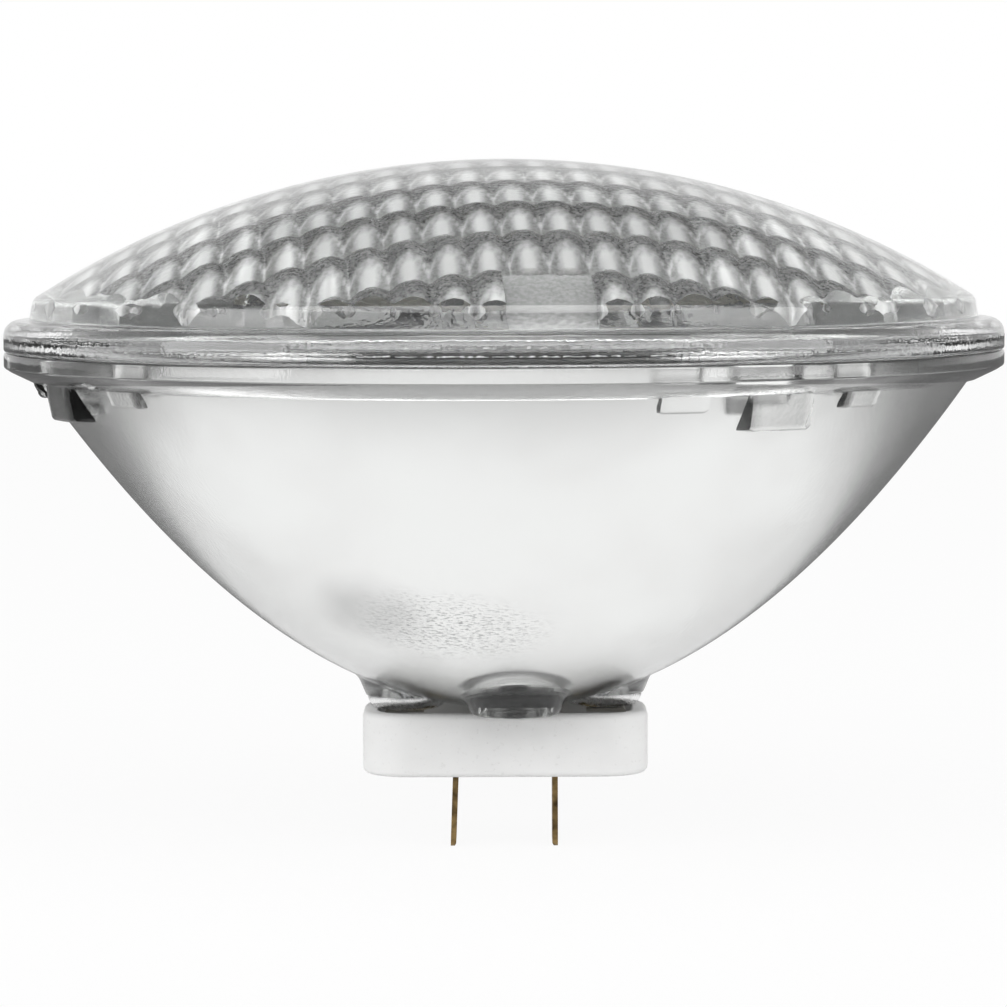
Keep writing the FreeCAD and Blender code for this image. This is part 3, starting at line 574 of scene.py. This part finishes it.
def make_steatite():
    """Dull off-white insulating ceramic."""
    material, tree, shader = new_material("steatite", Roughness=0.7)
    mottle = place_group(tree, MOTTLE, Patch_Size=150.0, Speck_Size=1300.0, Speck_Share=0.5)
    shade = ramp(tree, mottle.outputs["Patches"], [(0.3, (0.7, 0.68, 0.62)), (0.7, (0.82, 0.8, 0.74))])
    tree.links.new(shade, shader.inputs["Base Color"])
    bump(tree, shader, mottle.outputs["Specks"], 0.3, 0.06)
    return material


def hollow(place, depth, soft):
    """Height of a hollow at a place from -1 to 1 between two crests, with the crests rounded."""
    plain = depth * (1 - place ** 2)
    return np.sqrt(plain ** 2 + soft ** 2) - soft


def cell_lines(pitch, shift, steps):
    """Grid lines over the cell circle, closer together near the crests."""
    reach = math.ceil((CELL_CIRCLE + abs(shift)) / pitch)
    inside = np.sin(np.pi / 2 * (2 * np.arange(steps) / steps - 1))
    lines = [shift + (cell + 0.5 + inside / 2) * pitch for cell in range(-reach, reach)]
    return np.append(np.concatenate(lines), shift + reach * pitch)


def cell_place(x, y):
    """Place within a cell, across and along, from -1 to 1, and whether a point is on the plain panel."""
    across = 2 * np.mod((x - FLUTE_SHIFT) / FLUTE_PITCH, 1.0) - 1
    along = 2 * np.mod((y - ROW_SHIFT) / ROW_PITCH, 1.0) - 1
    return across, along, (np.abs(x) < PANEL_WIDTH / 2) & (y < PANEL_BACK)


def cell_height(x, y):
    """Height of the lens's inside over a point, in the glass's own frame."""
    across, along, plain = cell_place(x, y)
    rise = hollow(across, FLUTE_DEEP, FLUTE_SOFT) + hollow(along, ROW_DEEP, ROW_SOFT)
    return dome_height(RIDGE_RADIUS, np.hypot(x, y)) + np.where(plain, 0.0, rise)


def painted_cell_light(x, y):
    """Painted light on the pressed skin: painted shade in arches at the back of each cell, painted highlights
    in front and in a line between.
    """
    across, along, plain = cell_place(x, y)
    above = along - (PAINTED_ARCH_PLACE - PAINTED_ARCH_BEND * across ** 2)
    painted_arch = np.clip(0.5 + above / PAINTED_ARCH_SOFT, 0, 1)
    from_spot = np.hypot(across / PAINTED_SPOT_ACROSS, (along - PAINTED_SPOT_PLACE) / PAINTED_SPOT_ALONG)
    painted_spot = np.clip(PAINTED_SPOT_FULL - PAINTED_SPOT_FADE * from_spot, 0, 1)
    line = np.exp(-((above + PAINTED_LINE_BELOW) / PAINTED_LINE_WIDTH) ** 2)
    front = CORNER_PAINTED_SHADE + (1 - CORNER_PAINTED_SHADE) * np.maximum(painted_spot, LINE_PAINTED_HIGHLIGHT * line)
    return np.where(plain, PANEL_PAINTED_SHADE, front * (1 - painted_arch) + ARCH_PAINTED_SHADE * painted_arch)


def lens_cells():
    """Points, faces, painted shade and highlight values and the border loop of the hollow cells, within the
    cell circle.
    """
    xs = cell_lines(FLUTE_PITCH, FLUTE_SHIFT, FLUTE_STEPS)
    ys = cell_lines(ROW_PITCH, ROW_SHIFT, ROW_STEPS)
    x, y = np.meshgrid(xs, ys, indexing="ij")
    across = np.hypot(x, y)
    inside = across < CELL_CIRCLE
    kept = inside[:-1, :-1] | inside[1:, :-1] | inside[:-1, 1:] | inside[1:, 1:]
    scale = np.where(inside, 1.0, CELL_CIRCLE / np.maximum(across, CELL_CIRCLE))
    x = x * scale
    y = y * scale
    z = cell_height(x, y)
    shade = painted_cell_light(x, y)
    number = -np.ones(x.shape, int)
    points = []
    painted_shades = []
    faces = []
    for i, j in zip(*np.nonzero(kept)):
        corners = []
        for corner in ((i, j), (i + 1, j), (i + 1, j + 1), (i, j + 1)):
            if number[corner] < 0:
                number[corner] = len(points)
                points.append((x[corner], y[corner], z[corner]))
                painted_shades.append(shade[corner])
            corners.append(number[corner])
        faces.append(tuple(int(corner) for corner in corners))
    used = (number >= 0) & ~inside
    border = [(math.atan2(y[c], x[c]) % FULL_TURN, int(number[c])) for c in zip(*np.nonzero(used))]
    return points, faces, painted_shades, sorted(border)


def zip_rings(first, second):
    """Triangles between two rings, each a sorted list of angle and point number."""
    faces = []
    i = j = 0
    while i < len(first) or j < len(second):
        a = first[i % len(first)][1]
        b = second[j % len(second)][1]
        next_first = first[(i + 1) % len(first)][0] + (FULL_TURN if i + 1 >= len(first) else 0)
        next_second = second[(j + 1) % len(second)][0] + (FULL_TURN if j + 1 >= len(second) else 0)
        if j >= len(second) or (i < len(first) and next_first <= next_second):
            faces.append((a, first[(i + 1) % len(first)][1], b))
            i += 1
        else:
            faces.append((a, second[(j + 1) % len(second)][1], b))
            j += 1
    return faces


def lens_outside():
    """The lens's section from the foot of the cells, round the rim and up over the dome."""
    wall_top = dome_height(RIDGE_RADIUS, CELL_CIRCLE) - LENS_CORNER
    low = SEAM + SEAM_GAP
    across = SKIRT_RADIUS - SKIRT_DRAFT - SHOULDER_ROUND
    lean = math.degrees(math.acos(across / (DOME_RADIUS - SHOULDER_ROUND)))
    section = [(SKIRT_INSIDE - inwards, wall_top + up) for inwards, up in WALL_CORNER]
    section += [(SKIRT_INSIDE, low + SEAM_SLOPE), (SKIRT_INSIDE + SEAM_SLOPE, low)]
    section += arc(RIM_RADIUS - SEAM_EDGE, low + SEAM_EDGE, SEAM_EDGE, -90, 0, 5)
    section += arc(RIM_RADIUS - RIM_ROUND, FLANGE_TOP - RIM_ROUND, RIM_ROUND, 0, 90, 12)
    foot_r = SKIRT_RADIUS + SKIRT_FOOT_ROUND
    foot_z = FLANGE_TOP + SKIRT_FOOT_ROUND
    section += arc(foot_r, foot_z, SKIRT_FOOT_ROUND, 270, 186, 5)
    section += arc(across, SKIRT_TOP, SHOULDER_ROUND, 4, lean, 8)
    start = across * DOME_RADIUS / (DOME_RADIUS - SHOULDER_ROUND)
    for radius in np.linspace(start, 0, DOME_STEPS)[1:]:
        section.append((max(radius, 0.0), float(dome_height(DOME_RADIUS, radius))))
    return section


def make_lens(glass, skin):
    """The lens: a smooth dome over rows of hollow cells, a skirt and a round rim."""
    points, faces, painted_shades, border = lens_cells()
    cell_faces = len(faces)
    foot = []
    foot_z = float(dome_height(RIDGE_RADIUS, CELL_CIRCLE)) - FOOT_DROP
    for turn, _ in border:
        foot.append((turn, len(points)))
        points.append((CELL_CIRCLE * math.cos(turn), CELL_CIRCLE * math.sin(turn), foot_z))
    for step, (_, number) in enumerate(border):
        after = (step + 1) % len(border)
        faces.append((number, border[after][1], foot[after][1], foot[step][1]))
    section = [(CELL_CIRCLE + FOOT_OUT, foot_z - FOOT_DOWN)] + lens_outside()
    shell, shell_faces = revolve(section, LENS_SEGMENTS)
    offset = len(points)
    points += shell
    faces += [tuple(corner + offset for corner in face) for face in shell_faces]
    ring = [(FULL_TURN * step / LENS_SEGMENTS, offset + step) for step in range(LENS_SEGMENTS)]
    faces += zip_rings(foot, ring)
    points = [turned(point) for point in points]
    lens = new_piece("lens_glass", points, faces, [glass, skin], crease=50)
    for face in lens.data.polygons[:cell_faces]:
        face.material_index = 1
    # the cells' painted shade and painted highlights, kept on the points for the skin's colour
    shade = lens.data.attributes.new("painted_cell_light", "FLOAT", "POINT")
    shade.data.foreach_set("value", painted_shades + [1.0] * (len(points) - len(painted_shades)))
    finished(lens, "lens")


def combine(piece, blocks, operation):
    """Cut away, or join on, some closed meshes, and remove them."""
    group = bpy.data.collections.new(piece.name + "_tools")
    for block in blocks:
        group.objects.link(block)
    change = piece.modifiers.new(operation.lower(), "BOOLEAN")
    change.operation = operation
    change.operand_type = "COLLECTION"
    change.collection = group
    change.solver = "EXACT"
    graph = bpy.context.evaluated_depsgraph_get()
    changed = bpy.data.meshes.new_from_object(piece.evaluated_get(graph), depsgraph=graph)
    piece.modifiers.clear()
    piece.data = changed
    for block in blocks:
        bpy.data.objects.remove(block)
    bpy.data.collections.remove(group)


def prism(name, sections):
    """A closed mesh through rings of equally many points, capped at both ends."""
    points = [point for section in sections for point in section]
    count = len(sections[0])
    faces = [tuple(range(count)), tuple(range(len(points) - count, len(points)))]
    for level in range(len(sections) - 1):
        for step in range(count):
            after = (step + 1) % count
            low = level * count
            faces.append((low + step, low + after, low + count + after, low + count + step))
    return new_piece(name, points, faces, [])


def ring_at(centre, radius, height, count=72):
    """A level ring of points about a centre. The height may be a function of the point."""
    ring = []
    for step in range(count):
        turn = FULL_TURN * step / count
        x = centre[0] + radius * math.cos(turn)
        y = centre[1] + radius * math.sin(turn)
        ring.append((x, y, height(x, y) if callable(height) else height))
    return ring


def cylinder(name, centre, radius, low, high):
    """An upright cylinder between two heights."""
    return prism(name, [ring_at(centre, radius, low), ring_at(centre, radius, high)])


def make_lug_block(kind, angle):
    """A rounded block under the rim that ends inside the bowl's wall."""
    drop, width = LUG_KINDS[kind]
    low = RIM_LOW - drop
    top = RIM_FOOT + LUG_IN_RIM

    def wall(height):
        """Radius of a height inside the bowl's wall."""
        return 2 * math.sqrt(BOWL_FOCAL * (height - BOWL_BOTTOM)) - LUG_IN_WALL

    heights = np.linspace(low, top, 5)
    section = [(wall(height), height) for height in heights[::-1]]
    section += arc(LUG_RADIUS - LUG_FOOT_INSET - LUG_EDGE, low + LUG_EDGE, LUG_EDGE, -90, 0, 4)
    section += [(LUG_RADIUS - LUG_DRAFT, (low + top) / 2), (LUG_RADIUS, top)]
    slices = []
    half = math.radians(width / 2)
    middle = math.radians(angle - 90)
    ease = math.radians(LUG_END)
    steps = [-half, -half + ease * 0.3, -half + ease]
    steps += list(np.linspace(-half + ease, half - ease, 8)[1:-1])
    steps += [half - ease, half - ease * 0.3, half]
    for turn in steps:
        near = max(0.0, (abs(turn) - (half - ease)) / ease)
        shrink = LUG_END_ROUND * (1 - math.sqrt(max(0.0, 1 - near ** 2)))
        ring = []
        for radius, height in section:
            outer = radius > wall(height) + 0.5
            r = radius - (shrink if outer else 0.0)
            h = height + (shrink if outer and height < RIM_FOOT else 0.0)
            ring.append((r * math.cos(middle + turn), r * math.sin(middle + turn), h))
        slices.append(ring)
    return prism("lug_block", slices)


def make_boss(direction, end, radius, slope, flare, edge):
    """A round boss on the bowl's back that flares out where it meets the bowl."""
    centre = (BOSS_OFFSET * math.cos(direction), BOSS_OFFSET * math.sin(direction))

    def bowl(x, y):
        """Height of the bowl's wall over a point."""
        return float(parabola(BOWL_BOTTOM, BOWL_FOCAL, math.hypot(x, y)))

    def boss_ring(share, spread):
        """One ring, at a share of the way from the boss's end up to the bowl."""
        ring = []
        for x, y, _ in ring_at(centre, 1.0, 0.0):
            reach = radius
            for _ in range(4):
                there = (centre[0] + (x - centre[0]) * reach, centre[1] + (y - centre[1]) * reach)
                rise = bowl(*there) - end
                reach = radius + slope * max(rise, 0.0) * share + spread
            height = end + max(rise, 0.3) * share
            ring.append((centre[0] + (x - centre[0]) * reach, centre[1] + (y - centre[1]) * reach, height))
        return ring

    rings = []
    for turn in np.radians(np.linspace(0, 90, 5)):
        inset = edge * (1 - math.sin(turn))
        rings.append(ring_at(centre, radius - inset, end + edge * (1 - math.cos(turn)) * 0.999))
    for share in BOSS_LEVELS:
        spread = flare * max(0.0, (share - FLARE_START) / (1 - FLARE_START)) ** 3
        rings.append(boss_ring(share, spread))
    rings.append([(x, y, bowl(x, y) + BOSS_IN_WALL) for x, y, _ in rings[-1]])
    return prism("boss_block", rings)


def make_reflector(glass, silver, shaded_boss_glass):
    """The glass bowl with its mirror, rim flange, lugs and bosses."""
    outer = 2 * math.sqrt(BOWL_FOCAL * (RIM_FOOT - BOWL_BOTTOM))
    high = SEAM - SEAM_GAP
    inner = 2 * math.sqrt(MIRROR_FOCAL * (high - MIRROR_BOTTOM))
    section = [(r, float(parabola(BOWL_BOTTOM, BOWL_FOCAL, r))) for r in np.linspace(0, outer, BOWL_STEPS)]
    section.append((outer + FLANGE_OUT, RIM_FOOT + FLANGE_RISE))
    section.append((RIM_RADIUS - FLANGE_INSET, RIM_LOW - FLANGE_RISE))
    section += arc(RIM_RADIUS - RIM_EDGE, RIM_LOW + RIM_EDGE_RISE, RIM_EDGE, -60, 0, 5)
    section += arc(RIM_RADIUS - SEAM_EDGE, high - SEAM_EDGE, SEAM_EDGE, 0, 90, 5)
    section.append((inner + MIRROR_LIP, high))
    mirror = [(r, float(parabola(MIRROR_BOTTOM, MIRROR_FOCAL, r))) for r in np.linspace(inner, 0, BOWL_STEPS)]
    points, faces = revolve(section + mirror, BOWL_SEGMENTS)
    bowl = new_piece("silvered_bowl", points, faces, [glass, silver, shaded_boss_glass])
    for face in bowl.data.polygons:
        middle = face.center / MM
        across = math.hypot(middle.x, middle.y)
        height = parabola(MIRROR_BOTTOM, MIRROR_FOCAL, across)
        if abs(middle.z - height) < MIRROR_NEAR and across < inner:
            face.material_index = 1
    blocks = []
    for turn, side_step in LUG_GROUPS:
        for kind, step in (("small", -side_step), ("large", 0.0), ("small", side_step)):
            blocks.append(make_lug_block(kind, LUG_FIRST + turn + step))
    for direction in (0.0, math.pi):
        blocks.append(make_boss(direction, BOSS_END, BOSS_END_RADIUS, BOSS_SLOPE, BOSS_FLARE, BOSS_ROUND))
    front = -math.pi / 2
    blocks.append(make_boss(front, BLANK_END, BLANK_RADIUS, BLANK_SLOPE, BLANK_FLARE, BLANK_ROUND))
    combine(bowl, blocks, "UNION")
    cutters = []
    for side in (-1, 1):
        centre = (side * BOSS_OFFSET, 0.0)
        cutters.append(cylinder("bore", centre, BOSS_BORE, BOSS_END - 1, BOSS_BORE_TOP))
        seat = FERRULE_RADIUS + FERRULE_CLEARANCE
        cutters.append(cylinder("seat", centre, seat, BOWL_BOTTOM - 3, BOSS_END))
    cutters.append(cylinder("recess", (0.0, -BOSS_OFFSET), TIP_RECESS, BLANK_END - 2, TIP_RECESS_TOP))
    combine(bowl, cutters, "DIFFERENCE")
    # faces of the bosses take the glass greyed with painted shade
    for face in bowl.data.polygons:
        middle = face.center / MM
        wall = parabola(BOWL_BOTTOM, BOWL_FOCAL, math.hypot(middle.x, middle.y))
        if middle.z < wall - PAINTED_SHADE_OUTSIDE and middle.z < PAINTED_SHADE_TOP:
            face.material_index = 2
    bowl.data.transform(Matrix.Rotation(GLASS_TURN, 4, "Z"))
    bowl.data.shade_smooth()
    bowl.data.set_sharp_from_angle(angle=math.radians(38))
    finished(bowl, "reflector")


def make_ferrule(side, steel):
    """A drawn cup with a round bottom edge, under its boss."""
    name = "ferrule_" + ("left" if side < 0 else "right")
    middle = (FERRULE_RADIUS - FERRULE_ROUND, FERRULE_BOTTOM + FERRULE_ROUND)
    top = BOSS_END - FERRULE_GAP
    section = [(0.0, FERRULE_BOTTOM)] + arc(*middle, FERRULE_ROUND, -90, 0, 10)
    section += [(FERRULE_RADIUS, top), (FERRULE_RADIUS - FERRULE_WALL, top)]
    section += arc(*middle, FERRULE_ROUND - FERRULE_WALL, 0, -90, 6)
    section.append((0.0, FERRULE_BOTTOM + FERRULE_WALL))
    points, faces = revolve(section, 128)
    x, y, _ = turned((side * BOSS_OFFSET, 0.0, 0.0))
    cup = new_piece(name + "_cup", [(p[0] + x, p[1] + y, p[2]) for p in points], faces, [steel], crease=50)
    finished(cup, name)


def rounded_outline(inset, height):
    """A level ring round the base's outline, drawn in by an inset."""
    half_x = BASE_HIGH.x - inset
    half_y = BASE_HIGH.y - inset
    corner = max(BASE_CORNER - inset, SMALLEST_CORNER)
    ring = []
    for quarter, (sx, sy) in enumerate(((1, 1), (-1, 1), (-1, -1), (1, -1))):
        for turn in np.radians(np.linspace(0, 90, 15)) + quarter * math.pi / 2:
            x = sx * (half_x - corner) + corner * math.cos(turn)
            y = sy * (half_y - corner) + corner * math.sin(turn)
            ring.append((x, y, height))
    return ring


def make_ceramic_base(ceramic):
    """The ceramic tray with soft edges, its blade slots and its rivet holes."""
    top = BASE_HIGH.z
    levels = [(BASE_WALL * TRAY_MIDDLE, 0.0)]
    levels += [(BASE_EDGE - r, z) for r, z in arc(0.0, BASE_EDGE, BASE_EDGE, -90, 0, 6)]
    levels += [(BASE_EDGE - r, z) for r, z in arc(0.0, top - BASE_EDGE, BASE_EDGE, 0, 90, 6)]
    rim = BASE_WALL - CAVITY_EDGE
    levels += [(rim + r, z) for r, z in arc(0.0, top - CAVITY_EDGE, CAVITY_EDGE, 90, 0, 4)]
    levels += [(BASE_WALL + inwards, BASE_FLOOR + up) for inwards, up in TRAY_CORNER]
    tray = prism("ceramic_tray", [rounded_outline(inset, height) for inset, height in levels])
    tray.data.materials.append(ceramic)
    cutters = []
    for side in (-1, 1):
        middle = side * BLADE_SPACING / 2
        slot = []
        for height in (-1.0, BASE_FLOOR + 1.0):
            slot.append([
                (middle + sx * SLOT_WIDTH / 2, sy * SLOT_LENGTH / 2, height)
                for sx, sy in ((-1, -1), (1, -1), (1, 1), (-1, 1))
            ])
        cutters.append(prism("slot", slot))
        centre = (side * RIVET_PLACE, 0.0)
        cutters.append(cylinder("rivet_hole", centre, RIVET_BORE, 0.5, BASE_FLOOR + 1))
        cutters.append(cylinder("rivet_seat", centre, RIVET_SEAT, -1.0, RIVET_RECESS))
    combine(tray, cutters, "DIFFERENCE")
    tray.data.shade_smooth()
    tray.data.set_sharp_from_angle(angle=math.radians(40))
    finished(tray, "ceramic_base")


def make_filament(tungsten):
    """The coiled tungsten wire at the focus."""
    curve = bpy.data.curves.new("filament_coil", "CURVE")
    curve.dimensions = "3D"
    curve.bevel_depth = COIL_WIRE * MM
    curve.bevel_resolution = 2
    line = curve.splines.new("POLY")
    steps = COIL_TURNS * COIL_STEPS
    line.points.add(steps)
    for step in range(steps + 1):
        share = step / steps
        turn = FULL_TURN * COIL_TURNS * share
        place = turned((
            (share - 0.5) * (COIL_LENGTH - COIL_WIRE * 2),
            COIL_RADIUS * math.cos(turn),
            FOCUS + COIL_RADIUS * math.sin(turn),
        ))
        line.points[step].co = (*[c * MM for c in place], 1.0)
    curve.materials.append(tungsten)
    coil = bpy.data.objects.new("filament_coil", curve)
    bpy.context.scene.collection.objects.link(coil)
    finished(coil, "filament")


def dress_cad_nodes(finishes):
    """Give the nodes that keep their CAD shape their materials."""
    for name, material in finishes.items():
        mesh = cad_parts[name].data
        mesh.materials.clear()
        mesh.materials.append(material)


def mixed_shader(tree, share, first, second):
    """A mix of two shader nodes."""
    return add_node(tree, "ShaderNodeMixShader", {0: share, 1: first.outputs[0], 2: second.outputs[0]})


def make_floor():
    """A pale floor: white to the camera but for the shadow, and a pool of light to glass and metal."""
    material = bpy.data.materials.new("pale_floor")
    material.use_nodes = True
    tree = material.node_tree
    tree.nodes.clear()
    place = add_node(tree, "ShaderNodeNewGeometry")
    height = FLOOR_HEIGHT * MM
    narrowed = vector_result(tree, "MULTIPLY", place.outputs["Position"], (1.0 / POOL_WIDER, 1.0, 1.0))
    from_middle = vector_result(tree, "DISTANCE", narrowed, (0.0, POOL_BACK, height), "Value")
    pool = ramp(tree, from_middle, POOL_LEVELS)
    path = add_node(tree, "ShaderNodeLightPath")
    seen_in = math_result(tree, "MAXIMUM", path.outputs["Is Glossy Ray"], path.outputs["Is Transmission Ray"])
    plain = add_node(tree, "ShaderNodeBsdfDiffuse", {"Color": (FLOOR_SHADE, FLOOR_SHADE, FLOOR_SHADE, 1.0)})
    pooled = add_node(tree, "ShaderNodeEmission", {"Color": pool})
    white = add_node(tree, "ShaderNodeEmission", {"Color": (1.0, 1.0, 1.0, 1.0)})
    to_camera = mixed_shader(tree, FLOOR_WHITE, plain, white)
    to_gloss = mixed_shader(tree, seen_in, plain, pooled)
    chosen = mixed_shader(tree, path.outputs["Is Camera Ray"], to_gloss, to_camera)
    out = add_node(tree, "ShaderNodeOutputMaterial")
    tree.links.new(chosen.outputs[0], out.inputs["Surface"])
    mesh = bpy.data.meshes.new("floor")
    corners = [(sx * FLOOR_HALF, sy * FLOOR_HALF, height) for sx, sy in ((-1, -1), (1, -1), (1, 1), (-1, 1))]
    mesh.from_pydata(corners, [], [(0, 1, 2, 3)])
    mesh.materials.append(material)
    floor = bpy.data.objects.new("floor", mesh)
    bpy.context.scene.collection.objects.link(floor)


def make_world():
    """White to the camera, and to the rest a dim studio with a lit backdrop and an overhead light."""
    world = bpy.data.worlds.new("studio")
    bpy.context.scene.world = world
    world.use_nodes = True
    tree = world.node_tree
    tree.nodes.clear()
    place = add_node(tree, "ShaderNodeTexCoord").outputs["Generated"]
    parts = add_node(tree, "ShaderNodeSeparateXYZ", {"Vector": place}).outputs

    def eased(value, fade, first, last):
        """A value that goes softly from a first to a last level over a fade."""
        return remap(tree, value, *fade, first, last, interpolation_type="SMOOTHSTEP")

    backdrop = eased(parts["Y"], BACKDROP_START, 0.0, BACKDROP_LEVEL)
    behind = math_result(tree, "MULTIPLY", backdrop, eased(parts["Z"], BACKDROP_TOP, 1.0, 0.0))
    upwards = (0.0, -math.sin(OVERHEAD_LEAN), math.cos(OVERHEAD_LEAN))
    leaned = vector_result(tree, "DOT_PRODUCT", place, upwards, "Value")
    overhead = eased(leaned, OVERHEAD_START, ROOM_LEVEL, ROOM_LEVEL + OVERHEAD_LEVEL)
    sides = eased(math_result(tree, "ABSOLUTE", parts["X"]), SIDE_START, 0.0, SIDE_LEVEL)
    level = math_result(tree, "ADD", behind, math_result(tree, "ADD", overhead, sides))
    studio = add_node(tree, "ShaderNodeBackground", {"Color": level})
    dimmed = add_node(tree, "ShaderNodeBackground", {"Color": level, "Strength": MATT_SHARE})
    white = add_node(tree, "ShaderNodeBackground", {"Color": (1.0, 1.0, 1.0, 1.0)})
    path = add_node(tree, "ShaderNodeLightPath")
    by_surface = mixed_shader(tree, path.outputs["Is Diffuse Ray"], studio, dimmed)
    chosen = mixed_shader(tree, path.outputs["Is Camera Ray"], by_surface, white)
    out = add_node(tree, "ShaderNodeOutputWorld")
    tree.links.new(chosen.outputs[0], out.inputs["Surface"])


def make_soft_box(name, azimuth, power):
    """A rectangular lamp that looks at the middle of the glass, placed by its angle from the front."""
    lamp = bpy.data.lights.new(name, "AREA")
    lamp.shape = "RECTANGLE"
    lamp.size = BOX_WIDTH
    lamp.size_y = BOX_HEIGHT
    lamp.energy = power
    box = bpy.data.objects.new(name, lamp)
    aside = math.radians(azimuth)
    up = math.radians(BOX_ELEVATION)
    towards = Vector((math.sin(aside) * math.cos(up), -math.cos(aside) * math.cos(up), math.sin(up)))
    box.location = towards * BOX_DISTANCE + Vector((0.0, 0.0, BOX_AIM))
    box.rotation_euler = towards.to_track_quat("Z", "Y").to_euler()
    bpy.context.scene.collection.objects.link(box)


def make_camera():
    """The photograph's eye, which looks a little down past the rim."""
    camera = bpy.data.cameras.new("eye")
    camera.sensor_width = SENSOR
    camera.lens = SENSOR * PIXELS_PER_RADIAN / PICTURE
    camera.clip_start = 0.01
    eye = bpy.data.objects.new("eye", camera)
    eye.location = (EYE_ASIDE, -EYE_DISTANCE, EYE_HEIGHT)
    down = math.atan((PICTURE / 2 - EYE_LEVEL_ROW) / PIXELS_PER_RADIAN)
    look = Matrix.Rotation(math.pi / 2 - down, 3, "X") @ Matrix.Rotation(-EYE_ROLL, 3, "Z")
    eye.rotation_euler = look.to_euler()
    bpy.context.scene.collection.objects.link(eye)
    bpy.context.scene.camera = eye


def main():
    """Build the studio, the materials and every piece."""
    bpy.context.scene.view_settings.view_transform = "Standard"
    make_camera()
    make_world()
    make_floor()
    for name, (azimuth, power) in SOFT_BOXES.items():
        make_soft_box(name, azimuth, power)
    steel = make_metal("ferrule_steel", (0.78, 0.78, 0.78), (0.9, 0.9, 0.9), 0.26, relief=0.02)
    wire = make_metal("post_steel", (0.3, 0.3, 0.31), (0.42, 0.42, 0.43), 0.32)
    tungsten = make_metal("tungsten_wire", (0.2, 0.2, 0.21), (0.3, 0.3, 0.31), 0.4)
    brass = make_metal("tarnished_blade", (0.06, 0.04, 0.018), (0.26, 0.18, 0.08), 0.38, patch=420.0)
    nickel = make_metal("strap_nickel", (0.5, 0.48, 0.44), (0.62, 0.6, 0.55), 0.3)
    rivet = make_metal("rivet_brass", (0.45, 0.36, 0.2), (0.6, 0.5, 0.3), 0.3)
    solder = make_metal("solder_tin", (0.5, 0.5, 0.51), (0.66, 0.66, 0.67), 0.35)
    steatite = make_steatite()
    lens_glass = make_lens_glass()
    bowl_glass = make_bowl_glass()
    make_lens(lens_glass, make_cell_skin())
    make_reflector(bowl_glass, make_silver(), make_painted_shade_glass())
    make_ceramic_base(make_ceramic())
    make_filament(tungsten)
    finishes = {"exhaust_tip": bowl_glass, "bridge_bead": steatite}
    for side, name in ((-1, "left"), (1, "right")):
        make_ferrule(side, steel)
        finishes.update({
            "contact_blade_" + name: brass,
            "terminal_strap_" + name: nickel,
            "blade_rivet_" + name: rivet,
            "solder_" + name: solder,
            "lead_post_" + name: wire,
            "filament_sleeve_" + name: wire,
            "filament_support_" + name: tungsten,
        })
    dress_cad_nodes(finishes)


main()
